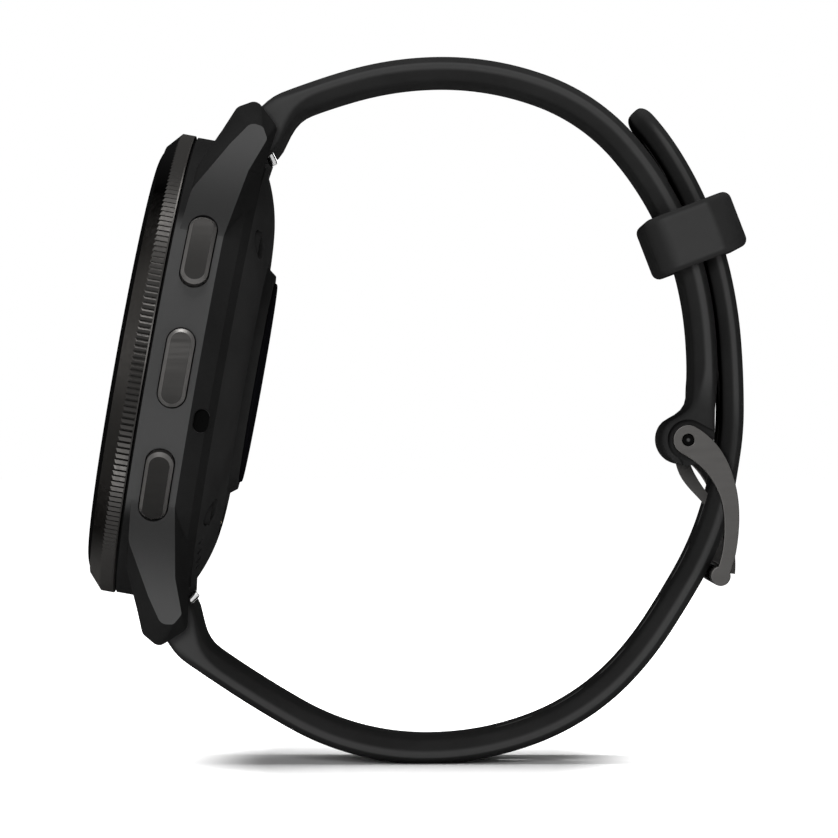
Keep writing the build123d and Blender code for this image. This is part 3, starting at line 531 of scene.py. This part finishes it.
def upper_section(distance):
    """Half width, outer and inner extent, chamfer, ridge's flat and shift of the short strap."""
    half = strap_thickness / 2
    top, bottom = half, -half
    if distance < root_blend:
        top, bottom = root_faces(distance, half)
    elif distance > upper_length - boss_blend:
        top, bottom = boss_faces(distance)
    out = past_root(distance)
    near_boss = ease(upper_length - boss_ease_from, upper_length - boss_ease_to, distance)
    chamfer = mix(mix(lug_chamfer, ridge_chamfer, out), boss_chamfer, near_boss)
    flat = mix(mix(lug_flat, ridge_flat, out), boss_flat, near_boss)
    shift = ridge_shift * out * (1 - near_boss)
    return strap_half, top, bottom, chamfer, flat, shift


def lower_half_width(distance, x):
    """Half width of the long strap, which tapers along its sole and has rounded corners at its tip."""
    taper_start = lower_root.x + taper_delay
    taper_end = (sole.x + heel.x) / 2
    share = min(1.0, max(0.0, (x - taper_start) / (taper_end - taper_start)))
    half = mix(strap_half, tail_half, share)
    left = lower_length - distance
    if left < tip_fillet:
        half += math.sqrt(max(0.0, tip_fillet ** 2 - (tip_fillet - left) ** 2)) - tip_fillet
    return half


def lower_section(distance):
    """The same of the long strap, which thins past the buckle and rounds off at its tip."""
    thinning = ease(buckle_station - thinning_reach, buckle_station + thinning_reach, distance)
    half = mix(strap_thickness, tail_thickness, thinning) / 2
    top, bottom = half, -half
    if distance < root_blend:
        top, bottom = root_faces(distance, half)
    left = lower_length - distance
    if left < tip_round:
        share = math.sqrt(max(0.0, 1 - (1 - left / tip_round) ** 2))
        top *= mix(tip_thinnest, 1.0, share)
        bottom *= mix(tip_thinnest, 1.0, share)
    out = past_root(distance)
    chamfer = mix(lug_chamfer, ridge_chamfer, out)
    flat = mix(lug_flat, ridge_flat, out)
    x = station(lower_path, distance)[0].x
    return lower_half_width(distance, x), top, bottom, chamfer, flat, ridge_shift * out


def spaced(low, high):
    """Even stations from low to high."""
    count = math.ceil((high - low) / station_step)
    return [mix(low, high, n / count) for n in range(count + 1)]


def strap_mesh(name, path, stations, outer_sign, section):
    """A strap's uncut mesh, from its sections at the stations."""
    rings = [strap_ring(path, distance, outer_sign, section(distance)) for distance in stations]
    return mesh_object(name, *skin(rings))


def bar_cuts(bar, up_sign):
    """Bore for the spring bar, and the window that its lever stands in."""
    solids = [prism(circle(bar, bar_bore), -past_sides, past_sides)]
    swing = lever_direction(up_sign)
    aside = Vector((-swing.y, swing.x)) * (lever_window_width / 2)
    far = bar + swing * lever_reach
    window = [bar + aside, far + aside, far - aside, bar - aside]
    reach = lever_window_length / 2
    solids.append(prism(window, -lever_place - reach, -lever_place + reach))
    return solids


def lever_direction(up_sign):
    """Way that a bar's lever points in the loop plane, turned over for the lower bar."""
    angle = math.radians(lever_angle)
    return (in_loop(up_sign * math.cos(angle), math.sin(angle)) - in_loop(0, 0)).normalized()


def slot_cut(distance):
    """Rounded slot across the thickness of the long strap."""
    centre, heading = station(lower_path, distance)
    along = direction(heading)
    through = left_of(heading) * (2 * strap_thickness)
    radius = slot_width / 2
    straight = slot_length / 2 - radius
    outline = []
    for n in range(slot_steps):
        turn = math.radians(360 * (n + 0.5) / slot_steps)
        push = straight if math.cos(turn) > 0 else -straight
        outline.append((math.cos(turn) * radius + push, math.sin(turn) * radius))
    rings = [[place(centre + along * a + through * end, y) for a, y in outline] for end in (-1, 1)]
    return skin(rings)


def arm_cuts():
    """Round recess at each side of the boss, open towards the buckle arms."""
    ahead = direction(arm_start_heading) * (3 * boss_radius)
    aside = left_of(arm_start_heading) * arm_recess
    below = pin + Vector((boss_radius, -3 * boss_radius))
    way = [pin + aside, pin + aside + ahead, pin - aside + ahead, below, pin - aside]
    solids = []
    for low, high in ((arm_inner, past_sides), (-past_sides, -arm_inner)):
        solids.append(prism(circle(pin, arm_recess), low, high))
        solids.append(prism(way, low, high))
    return solids


def notch_cuts():
    """Room for the tongue's eye in the middle of the boss, open downwards."""
    low = pin.x - tongue_notch_radius
    high = pin.x + 2 * boss_radius
    floor = pin.y - 2 * boss_radius
    way = [Vector((low, pin.y)), Vector((low, floor)), Vector((high, floor)), Vector((high, pin.y))]
    eye = prism(circle(pin, tongue_notch_radius), -tongue_notch_half, tongue_notch_half)
    return [eye, prism(way, -tongue_notch_half, tongue_notch_half)]


def strap_upper_piece():
    """Short strap, from its spring bar to the boss round the buckle pin."""
    stations = end_stations(-root_along, bulb_radius, 1)
    stations += spaced(-root_along, upper_length)
    stations += list(reversed(end_stations(upper_length, boss_radius, -1)))
    strap = strap_mesh("strap_upper_silicone", upper_path, stations, 1, upper_section)
    solids = bar_cuts(bar_upper, 1) + arm_cuts() + notch_cuts()
    solids.append(prism(circle(pin, pin_bore), -past_sides, past_sides))
    cut(strap, solids)
    return tidy_mesh(strap)


def strap_lower_piece():
    """Long strap with its slots, from its spring bar through the buckle to the tail's tip."""
    tongue_station = buckle_station - tongue_back
    stations = end_stations(-root_along, bulb_radius, 1)
    stations += spaced(-root_along, lower_length - tip_fillet)
    for n in range(1, tip_steps + 1):
        turn = math.radians(90 * n / tip_steps)
        stations.append(lower_length - tip_fillet * (1 - math.sin(turn)))
    strap = strap_mesh("strap_lower_silicone", lower_path, stations, -1, lower_section)
    solids = bar_cuts(bar_lower, -1)
    solids += [slot_cut(tongue_station + n * slot_pitch) for n in range(-slots_before, slots_after + 1)]
    cut(strap, solids)
    return tidy_mesh(strap)


def quarter(centre, radius, start, steps):
    """Points of a quarter turn about a centre, from a start angle."""
    return [centre + direction(start + 90 * n / steps) * radius for n in range(steps + 1)]


def keeper_piece():
    """Moulded loop, straight along the strap: a wall with rounded edges carried round both layers."""
    middle = keeper_centre + direction(keeper_angle) * ((keeper_inner_low + keeper_inner_high) / 2)
    wall = keeper_wall / 2
    half_y = strap_half + keeper_gap + wall
    half_r = (keeper_inner_high - keeper_inner_low) / 2 + wall
    corner = keeper_corner - wall
    walk = []
    for start, turn_y, turn_r in ((0, 1, 1), (90, -1, 1), (180, -1, -1), (270, 1, -1)):
        centre = Vector((turn_y * (half_y - corner), turn_r * (half_r - corner)))
        for n in range(2 * corner_steps + 1):
            away = direction(start + 90 * n / (2 * corner_steps))
            walk.append((centre + away * corner, away))
    half = keeper_length / 2
    outer = (half - keeper_edge, wall - keeper_edge, keeper_edge)
    inner = (half - keeper_inner_edge, wall - keeper_inner_edge, keeper_inner_edge)
    profile = []
    for start, sign_a, sign_o, (along, out, radius) in (
            (0, 1, 1, outer), (90, -1, 1, outer), (180, -1, -1, inner), (270, 1, -1, inner)):
        profile += quarter(Vector((sign_a * along, sign_o * out)), radius, start, corner_steps)
    rings = []
    for point in profile:
        at = middle + left_of(keeper_angle) * point.x
        rings.append([place(at + direction(keeper_angle) * (spot.y + away.y * point.y),
                            spot.x + away.x * point.y) for spot, away in walk])
    return tidy_mesh(mesh_object("keeper_moulded_loop", *skin(rings, endless=True)), keeper_smooth_angle)


# ---------- dial ----------

print_low = display_front + print_gap
print_high = display_front + print_height
case_matrix = Matrix((
    (0, math.sin(tilt), -math.cos(tilt), (case_x + home) * MM),
    (-1, 0, 0, 0),
    (0, math.cos(tilt), math.sin(tilt), case_z * MM),
    (0, 0, 0, 1),
))


def on_dial(x, y, z):
    """Row-frame place, in metres, of a point in the case's own frame."""
    return case_matrix @ Vector((x * MM, y * MM, z * MM))


def plate(outline, low, high):
    """Closed flat plate over a dial-plane outline."""
    return skin([[on_dial(x, y, low) for x, y in outline], [on_dial(x, y, high) for x, y in outline]])


def bar_outline(angle, near, far, near_half, far_half):
    """Tapered bar from one radius to another, at a clock angle."""
    out = Vector((math.sin(math.radians(angle)), math.cos(math.radians(angle))))
    across = Vector((out.y, -out.x))
    corners = [out * near + across * near_half, out * far + across * far_half]
    corners += [out * far - across * far_half, out * near - across * near_half]
    return [(corner.x, corner.y) for corner in corners]


def mark(angle, inner, half):
    """Plain mark at the dial's rim."""
    return plate(bar_outline(angle, inner, mark_outer, half, half), print_low, print_high)


def hand(outline_values, layer):
    """One of the hands, each layer in front of the last."""
    low = print_high + hand_gap + layer * (hand_gap + hand_thickness)
    return plate(bar_outline(*outline_values), low, low + hand_thickness)


def band(start, end):
    """Part of a flat ring between two clock angles."""
    steps = math.ceil(abs(end - start) / arc_step)
    turns = [math.radians(mix(start, end, n / steps)) for n in range(steps + 1)]
    outline = [(math.sin(turn) * arc_outer, math.cos(turn) * arc_outer) for turn in turns]
    outline += [(math.sin(turn) * arc_inner, math.cos(turn) * arc_inner) for turn in reversed(turns)]
    return plate(outline, print_low, print_high)


def dial_numbers():
    """Plain hour numbers, as flat raised figures."""
    made = []
    for hour in (12, 3, 6, 9):
        text = bpy.data.curves.new("number", "FONT")
        text.body = str(hour)
        text.size = number_size * MM
        text.extrude = (print_high - print_low) / 2 * MM
        text.align_x = "CENTER"
        text.align_y = "CENTER"
        text.resolution_u = 4
        holder = bpy.data.objects.new("number", text)
        bpy.context.scene.collection.objects.link(holder)
        depsgraph = bpy.context.evaluated_depsgraph_get()
        mesh = bpy.data.meshes.new_from_object(holder.evaluated_get(depsgraph))
        turn = math.radians(30 * hour)
        spot = Vector((math.sin(turn) * number_radius, math.cos(turn) * number_radius,
                       (print_low + print_high) / 2))
        mesh.transform(case_matrix @ Matrix.Translation(spot * MM))
        bpy.data.objects.remove(holder)
        number = bpy.data.objects.new("dial_number_%02d" % hour, mesh)
        bpy.context.scene.collection.objects.link(number)
        made.append(tidy_mesh(number))
    return made


# ---------- materials ----------

def vector_maths(tree, operation, value, other=(0, 0, 0)):
    """Result of a vector maths node on a linked value and a fixed vector."""
    node = tree.nodes.new("ShaderNodeVectorMath")
    node.operation = operation
    node.inputs[1].default_value = other
    tree.links.new(value, node.inputs[0])
    gives_number = operation in ("DOT_PRODUCT", "DISTANCE", "LENGTH")
    return node.outputs["Value" if gives_number else "Vector"]


def maths(tree, operation, *values):
    """Result of a maths node on linked values."""
    node = tree.nodes.new("ShaderNodeMath")
    node.operation = operation
    for value, socket in zip(values, node.inputs):
        tree.links.new(value, socket)
    return node.outputs[0]


def object_place(tree):
    return tree.nodes.new("ShaderNodeTexCoord").outputs["Object"]


def noise(tree, coordinates, scale, detail=3.0, stretch=None):
    """Noise texture output in object coordinates, drawn out along one axis if asked."""
    texture = tree.nodes.new("ShaderNodeTexNoise")
    texture.inputs["Scale"].default_value = scale
    texture.inputs["Detail"].default_value = detail
    source = coordinates
    if stretch:
        mapping = tree.nodes.new("ShaderNodeMapping")
        mapping.inputs["Scale"].default_value = stretch
        tree.links.new(coordinates, mapping.inputs["Vector"])
        source = mapping.outputs["Vector"]
    tree.links.new(source, texture.inputs["Vector"])
    return texture.outputs["Fac"]


def ranged(tree, value, low, high):
    """A 0..1 noise value spread over low..high, clamped a little inside the noise's real range."""
    spread = tree.nodes.new("ShaderNodeMapRange")
    spread.inputs["From Min"].default_value = noise_low
    spread.inputs["From Max"].default_value = noise_high
    spread.inputs["To Min"].default_value = low
    spread.inputs["To Max"].default_value = high
    tree.links.new(value, spread.inputs["Value"])
    return spread.outputs["Result"]


def tinted(tree, value, colour, spread):
    """Colour that drifts between a darker and a lighter shade of one colour."""
    blend = tree.nodes.new("ShaderNodeMix")
    blend.data_type = "RGBA"
    blend.inputs["A"].default_value = [channel * (1 - spread) for channel in colour] + [1]
    blend.inputs["B"].default_value = [channel * (1 + spread) for channel in colour] + [1]
    tree.links.new(ranged(tree, value, 0, 1), blend.inputs["Factor"])
    return blend.outputs["Result"]


def smooth_share(tree, value, low, high):
    """0 to 1 as a value goes from low to high, eased at both ends. Low may be the larger."""
    spread = tree.nodes.new("ShaderNodeMapRange")
    spread.interpolation_type = "SMOOTHSTEP"
    spread.inputs["From Min"].default_value = low
    spread.inputs["From Max"].default_value = high
    tree.links.new(value, spread.inputs["Value"])
    return spread.outputs["Result"]


def along_axis(tree, vector, axis, low, high):
    """Share by the size of a vector's part along an axis, either way."""
    part = vector_maths(tree, "DOT_PRODUCT", vector, axis)
    return smooth_share(tree, maths(tree, "ABSOLUTE", part), low, high)


def facing(tree, axis, low, high):
    """Share by how squarely the surface faces along an axis, either way."""
    normal = tree.nodes.new("ShaderNodeNewGeometry").outputs["Normal"]
    return along_axis(tree, normal, axis, low, high)


def from_point(tree, point, near, far):
    """Share by the distance from a loop-plane point."""
    in_plane = vector_maths(tree, "MULTIPLY", object_place(tree), (1, 0, 1))
    distance = vector_maths(tree, "DISTANCE", in_plane, place(point, 0))
    return smooth_share(tree, distance, near * MM, far * MM)


def up_the_case(tree, low, high):
    """Share by the distance towards 12 or 6 o'clock from the case's middle."""
    from_middle = vector_maths(tree, "SUBTRACT", object_place(tree), place(in_loop(0, 0), 0))
    return along_axis(tree, from_middle, case_up, low * MM, high * MM)


def second_shade(material, colour, *masks):
    """Another colour where all the masks are 1, mostly painted light or shade. A mask is a share's function with
    its values.
    """
    tree = material.node_tree
    shader = tree.nodes["Principled BSDF"]
    share = None
    for mask, *values in masks:
        found = mask(tree, *values)
        share = maths(tree, "MULTIPLY", share, found) if share else found
    blend = tree.nodes.new("ShaderNodeMix")
    blend.data_type = "RGBA"
    blend.inputs["B"].default_value = list(colour) + [1]
    tree.links.new(shader.inputs["Base Color"].links[0].from_socket, blend.inputs["A"])
    tree.links.new(share, blend.inputs["Factor"])
    tree.links.new(blend.outputs["Result"], shader.inputs["Base Color"])
    return material


def finish_of(name, colour, metallic=0.0, roughness=0.5, specular=0.5, grain=3000.0, depth=0.01,
              drift=0.12, stretch=None, edge_tint=1.0):
    """Principled material with drifting colour, uneven roughness and a fine grain in its surface."""
    material = bpy.data.materials.new(name)
    material.use_nodes = True
    tree = material.node_tree
    shader = tree.nodes["Principled BSDF"]
    shader.inputs["Metallic"].default_value = metallic
    shader.inputs["Specular IOR Level"].default_value = specular
    shader.inputs["Specular Tint"].default_value = (edge_tint, edge_tint, edge_tint, 1)
    coordinates = object_place(tree)
    drifting = noise(tree, coordinates, drift_scale)
    tree.links.new(tinted(tree, drifting, colour, drift), shader.inputs["Base Color"])
    fine = noise(tree, coordinates, grain, grain_detail, stretch)
    uneven = ranged(tree, fine, roughness - rough_spread, roughness + rough_spread)
    tree.links.new(uneven, shader.inputs["Roughness"])
    bump = tree.nodes.new("ShaderNodeBump")
    bump.inputs["Strength"].default_value = bump_strength
    bump.inputs["Distance"].default_value = depth * MM
    tree.links.new(fine, bump.inputs["Height"])
    tree.links.new(bump.outputs["Normal"], shader.inputs["Normal"])
    return material


def glass_finish():
    """Clear glass with a faint tint that drifts a little."""
    material = finish_of("lens_glass", (0.93, 0.95, 0.96), roughness=0.01, specular=0.2, grain=900.0,
                         depth=0.0005, drift=0.03)
    shader = material.node_tree.nodes["Principled BSDF"]
    shader.inputs["Transmission Weight"].default_value = 1.0
    shader.inputs["IOR"].default_value = 1.46
    return material


def grey(level, warm=0.0):
    """Grey of a level, with a little more red and less blue if warm."""
    return (level * (1 + warm), level, level * (1 - warm))


def brushed_metal(name, colour, roughness, grain, depth, edge_tint):
    """Metal with its grain drawn out along one axis."""
    return finish_of(name, colour, metallic=1.0, roughness=roughness, grain=grain, depth=depth,
                     stretch=brushed, edge_tint=edge_tint)


def case_finish():
    """Dark case with a painted highlight where its side band and lug facets face along y, brightest at the lug
    tips.
    """
    lit_side_band = (facing, outward, 0.6, 0.8)
    upright = (facing, case_axis, 0.3, 0.12)
    between_lugs = (up_the_case, 15.0, 12.5)
    lit_facet = (facing, outward, 0.86, 0.99)
    lugs = (up_the_case, 12.0, 14.0)
    lug_tips = (up_the_case, 15.0, 24.0)
    material = finish_of("case_polymer", grey(0.012), specular=0.0, grain=5200.0, depth=0.006)
    # Painted highlights by facing and place: the side band, then the lug facets, lighter towards their tips
    second_shade(material, grey(0.05), lit_side_band, upright, between_lugs)
    second_shade(material, grey(0.03), lit_facet, lugs)
    return second_shade(material, grey(0.067), lit_facet, lug_tips)


def button_finish(name, axis):
    """Slate cap that faces along an axis, with a painted highlight on its rim and painted darker shade on its
    face.
    """
    face = (facing, axis, 0.93, 0.99)
    material = brushed_metal(name, grey(0.1, 0.03), 0.5, 2400.0, 0.004, 0.1)
    # The base grey is the rim's painted highlight; the face square to the axis is painted darker
    return second_shade(material, grey(0.022, 0.03), face)


def bezel_finish():
    """Dark metal, matt towards 12 and 6 o'clock, its front slope painted black as shade above and slate as light
    below.
    """
    middle_end, matt_start = 16.0, 21.0
    slope = (facing, case_axis, 0.2, 0.5)
    teeth = (facing, case_axis, 0.5, 0.2)
    matt_ends = (up_the_case, middle_end, matt_start)
    shaded_slope_ends = (up_the_case, 12.0, 19.0)
    lit_lower_front = (from_point, in_loop(-22.0, 4.0), 14.0, 5.0)
    material = finish_of("bezel_metal", grey(0.03, 0.04), metallic=1.0, roughness=0.36, specular=0.0,
                         grain=2600.0, depth=0.003, edge_tint=0.0)
    second_shade(material, grey(0.028, 0.04), matt_ends, teeth)
    # Painted shade blacks the front slope at both ends, and painted light makes it slate near 6 o'clock
    second_shade(material, grey(0.005), shaded_slope_ends, slope)
    second_shade(material, grey(0.036, 0.04), lit_lower_front, slope)
    tree = material.node_tree
    metal_middle = up_the_case(tree, matt_start, middle_end)
    tree.links.new(metal_middle, tree.nodes["Principled BSDF"].inputs["Metallic"])
    return material


def buckle_finish():
    """Satin metal with painted highlights on its bevelled edges and painted shade on the faces turned away from y.
    """
    shaded_round_faces = (facing, outward, 0.4, 0.2)
    sides = (facing, outward, 0.9, 0.99)
    # The base grey is the painted highlight left on the bevels; the shades below paint the other faces darker
    material = brushed_metal("buckle_metal", grey(0.1, 0.03), 0.45, 2600.0, 0.004, 0.1)
    second_shade(material, grey(0.02, 0.03), shaded_round_faces)
    return second_shade(material, grey(0.042, 0.03), sides)


def rubber_finish(name, shade, *masks):
    """Matt black silicone with a painted highlight where the masks are 1."""
    material = finish_of(name, grey(0.019), roughness=0.55, specular=0.0, grain=3600.0, depth=0.008)
    return second_shade(material, shade, *masks)


def strap_finish():
    """Silicone with a painted highlight on the flat of its side ridge, kept away from the buckle pin."""
    lit_flat_side = (facing, outward, 0.66, 0.97)
    off_the_pin = (from_point, pin, 3.0, 7.0)
    return rubber_finish("strap_rubber", grey(0.044), lit_flat_side, off_the_pin)


def keeper_finish():
    """Silicone with a painted highlight across the middle of its flat side."""
    fade_in, fade_out = keeper_lit_fades
    lit_flat_side = (facing, outward, 0.75, 0.98)
    past_inner = (from_point, keeper_centre, keeper_lit_from, keeper_lit_from + fade_in)
    before_outer = (from_point, keeper_centre, keeper_lit_to, keeper_lit_to - fade_out)
    return rubber_finish("keeper_rubber", grey(0.036), lit_flat_side, past_inner, before_outer)


def pin_finish():
    """Black pin with a small pale centre."""
    material = finish_of("pin_end", grey(0.003), specular=0.0)
    return second_shade(material, grey(0.06), (from_point, pin, 0.22, 0.08))


# Plain finishes: colour, metallic, roughness, specular, then grain per metre, its depth in mm and the drift
plain_finishes = {
    "lens_edge": (grey(0.003), 0.0, 0.4, 0.0, 2200.0, 0.001),
    "black_adhesive": (grey(0.006), 0.0, 0.6, 0.0),
    "seal_rubber": (grey(0.012), 0.0, 0.6, 0.0),
    "display": ((0.004, 0.004, 0.005), 0.0, 0.3, 0.05, 2000.0, 0.0005),
    "flex_film": ((0.42, 0.18, 0.04), 0.0, 0.35, 0.5, 1500.0, 0.004),
    "chassis_polymer": (grey(0.05), 0.0, 0.5, 0.4),
    "antenna_copper": ((0.75, 0.32, 0.16), 1.0, 0.3, 0.5, 2500.0, 0.003),
    "board_laminate": ((0.01, 0.08, 0.03), 0.0, 0.35, 0.5, 1800.0, 0.01),
    "cell_wrap": (grey(0.3), 0.0, 0.4, 0.5, 900.0, 0.02),
    "switch_body": (grey(0.35), 0.0, 0.4, 0.5),
    "mesh_steel": (grey(0.003), 0.0, 0.6, 0.0, 4200.0, 0.03),
    "cover_polymer": (grey(0.022), 0.0, 0.5, 0.0, 4600.0, 0.005),
    "screw_steel": (grey(0.012), 0.0, 0.4, 0.0, 2500.0, 0.003),
    "sensor_glass": ((0.004, 0.004, 0.005), 0.0, 0.25, 0.0, 1200.0, 0.0005),
    "led_resin": ((0.55, 0.5, 0.2), 0.0, 0.3, 0.5),
    "photodiode_silicon": ((0.02, 0.02, 0.05), 0.0, 0.2, 0.5),
    "contact_gold": ((0.85, 0.6, 0.25), 1.0, 0.25, 0.5, 2500.0, 0.002),
    "dial_white": ((0.75, 0.78, 0.8), 0.0, 0.4, 0.4, 1500.0, 0.001, 0.04),
    "dial_grey": ((0.2, 0.22, 0.24), 0.0, 0.4, 0.4, 1500.0, 0.001, 0.06),
    "dial_lime": ((0.36, 0.62, 0.08), 0.0, 0.4, 0.4, 1500.0, 0.001, 0.05),
    "dial_blue": ((0.05, 0.36, 0.68), 0.0, 0.4, 0.4, 1500.0, 0.001, 0.05),
}

# Brushed metals: colour, roughness, grain per metre, its depth in mm, and the tint at grazing angles
brushed_metals = {
    "shield_steel": (grey(0.55), 0.3, 2500.0, 0.003, 1.0),
    "bar_steel": (grey(0.62), 0.18, 2500.0, 0.002, 1.0),
    "tongue_metal": (grey(0.03, 0.03), 0.4, 2600.0, 0.004, 0.1),
}


def all_materials():
    """Materials of the record's slots but the buttons', of single nodes and of the dial."""
    made = {name: finish_of(name, *values) for name, values in plain_finishes.items()}
    for name, values in brushed_metals.items():
        made[name] = brushed_metal(name, *values)
    made["case_polymer"] = case_finish()
    made["bezel_metal"] = bezel_finish()
    made["lens_glass"] = glass_finish()
    made["pin_end"] = pin_finish()
    made["strap_rubber"] = strap_finish()
    made["keeper_rubber"] = keeper_finish()
    made["buckle_metal"] = buckle_finish()
    return made


def paint(piece, material):
    """Give a piece one material in all its slots."""
    if not piece.data.materials:
        piece.data.materials.append(material)
    for holder in piece.material_slots:
        holder.link = "OBJECT"
        holder.material = material


def break_edges(piece):
    """Rub a piece's sharp edges down a little, once its flats are whole faces."""
    piece.modifiers.new("joined_points", "WELD").merge_threshold = same_point * MM
    flats = piece.modifiers.new("whole_flats", "DECIMATE")
    flats.decimate_type = "DISSOLVE"
    flats.angle_limit = math.radians(same_flat_angle)
    bevel = piece.modifiers.new("worn_edges", "BEVEL")
    bevel.use_clamp_overlap = False
    bevel.width = worn_edge * MM
    bevel.segments = 1
    bevel.limit_method = "ANGLE"
    bevel.angle_limit = math.radians(worn_angle)
    bevel.harden_normals = True


def add_piece(piece, material, body, slot, *replaced):
    """Paint an added piece, hang it on its body and hide the nodes that it stands for. Its slot is not used."""
    paint(piece, material)
    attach(piece, body)
    if replaced:
        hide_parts(*replaced)


# ---------- stage ----------

def white_to_camera(tree, lit_strength):
    """Strength that is 1 for camera, glossy and transmission rays, and lit_strength for the rest."""
    rays = tree.nodes.new("ShaderNodeLightPath").outputs
    seen = maths(tree, "MAXIMUM", rays["Is Camera Ray"], rays["Is Glossy Ray"])
    seen = maths(tree, "MAXIMUM", seen, rays["Is Transmission Ray"])
    strength = tree.nodes.new("ShaderNodeMapRange")
    strength.inputs["To Min"].default_value = lit_strength
    strength.inputs["To Max"].default_value = 1.0
    tree.links.new(seen, strength.inputs["Value"])
    return strength.outputs["Result"]


def make_world():
    """World that is white to the camera and in reflections, and gives a faint even light."""
    world = bpy.data.worlds.new("studio")
    world.use_nodes = True
    background = world.node_tree.nodes["Background"]
    background.inputs["Color"].default_value = (1, 1, 1, 1)
    strength = white_to_camera(world.node_tree, world_light)
    world.node_tree.links.new(strength, background.inputs["Strength"])
    bpy.context.scene.world = world


def make_floor():
    """Pale floor that takes the shadow, and is plain white to the camera outside an oval round the foot."""
    turns = [2 * math.pi * n / floor_steps for n in range(floor_steps)]
    rim = [Vector((math.cos(turn), math.sin(turn), 0)) * floor_reach for turn in turns]
    floor = mesh_object("floor", rim, [tuple(range(floor_steps))])
    material = bpy.data.materials.new("floor_white")
    material.use_nodes = True
    tree = material.node_tree
    shader = tree.nodes["Principled BSDF"]
    shader.inputs["Base Color"].default_value = (floor_shade, floor_shade, floor_shade, 1)
    shader.inputs["Roughness"].default_value = 0.9
    shader.inputs["Specular IOR Level"].default_value = 0.0
    shader.inputs["Emission Color"].default_value = (1, 1, 1, 1)
    in_oval = vector_maths(tree, "MULTIPLY", object_place(tree), shadow_oval)
    outside_oval = smooth_share(tree, vector_maths(tree, "LENGTH", in_oval), shadow_whole, shadow_gone)
    to_camera = tree.nodes.new("ShaderNodeLightPath").outputs["Is Camera Ray"]
    glow = maths(tree, "MULTIPLY", to_camera, outside_oval)
    tree.links.new(glow, shader.inputs["Emission Strength"])
    floor.data.materials.append(material)


def area_light(name, spot, size, power):
    """Round soft lamp turned to the object's middle."""
    lamp = bpy.data.lights.new(name, "AREA")
    lamp.shape = "DISK"
    lamp.size = size
    lamp.energy = power
    holder = bpy.data.objects.new(name, lamp)
    holder.location = spot
    holder.rotation_euler = (Vector(lamp_target) - Vector(spot)).to_track_quat("-Z", "Y").to_euler()
    bpy.context.scene.collection.objects.link(holder)


def make_camera():
    """Level view along +Y, at the middle of the strap's height."""
    camera = bpy.data.cameras.new("camera")
    camera.sensor_width = camera_sensor
    camera.lens = camera_lens
    camera.clip_start = camera_clip
    holder = bpy.data.objects.new("camera", camera)
    holder.location = (camera_x + home * MM, camera_y, camera_z)
    holder.rotation_euler = (math.radians(90), 0, 0)
    bpy.context.scene.collection.objects.link(holder)
    bpy.context.scene.camera = holder


# ---------- the making ----------

make_camera()
make_world()
make_floor()
for lamp_values in lamps:
    area_light(*lamp_values)
bpy.context.scene.view_settings.view_transform = "Standard"

materials = all_materials()
slot_of = {part["node"]: part["material_slot"] for part in frame["record"]["subparts"]}
own_finish = {"buckle_pin": materials["pin_end"], "lens_ring": materials["lens_edge"]}
for spot in ("top", "middle", "bottom"):
    axis = joints[spot + "_button_press"]["axis"]
    own_finish[spot + "_button_cap"] = button_finish(spot + "_button_metal", axis)
for name, node in frame["nodes"].items():
    paint(node, own_finish[name] if name in own_finish else materials[slot_of[name]])
break_edges(frame["nodes"]["buckle_frame"])

add_piece(strap_upper_piece(), materials["strap_rubber"], "case", "strap_rubber", "strap_upper")
add_piece(strap_lower_piece(), materials["strap_rubber"], "case", "strap_rubber", "strap_lower")
add_piece(keeper_piece(), materials["keeper_rubber"], "keeper", "keeper_rubber", "keeper_loop")

# ---------- dial pieces, printed just in front of the display ----------

hour_marks = [mark(30 * n, hour_mark_inner, hour_mark_half) for n in range(12)]
minute_marks = [mark(6 * n, minute_mark_inner, minute_mark_half) for n in range(60) if n % 5]
dial_pieces = (
    ("dial_hour_marks", hour_marks, "dial_white"),
    ("dial_minute_marks", minute_marks, "dial_grey"),
    ("dial_hands", [hand(hour_hand, 0), hand(minute_hand, 1)], "dial_white"),
    ("dial_sweep_hand", [hand(sweep_hand, 2)], "dial_lime"),
    ("dial_distance_arc", [band(*distance_arc)], "dial_blue"),
    ("dial_pace_arc", [band(*pace_arc)], "dial_lime"),
)
for name, solids, finish in dial_pieces:
    add_piece(joined(name, solids), materials[finish], "case", "display")
for number in dial_numbers():
    add_piece(number, materials["dial_white"], "case", "display")
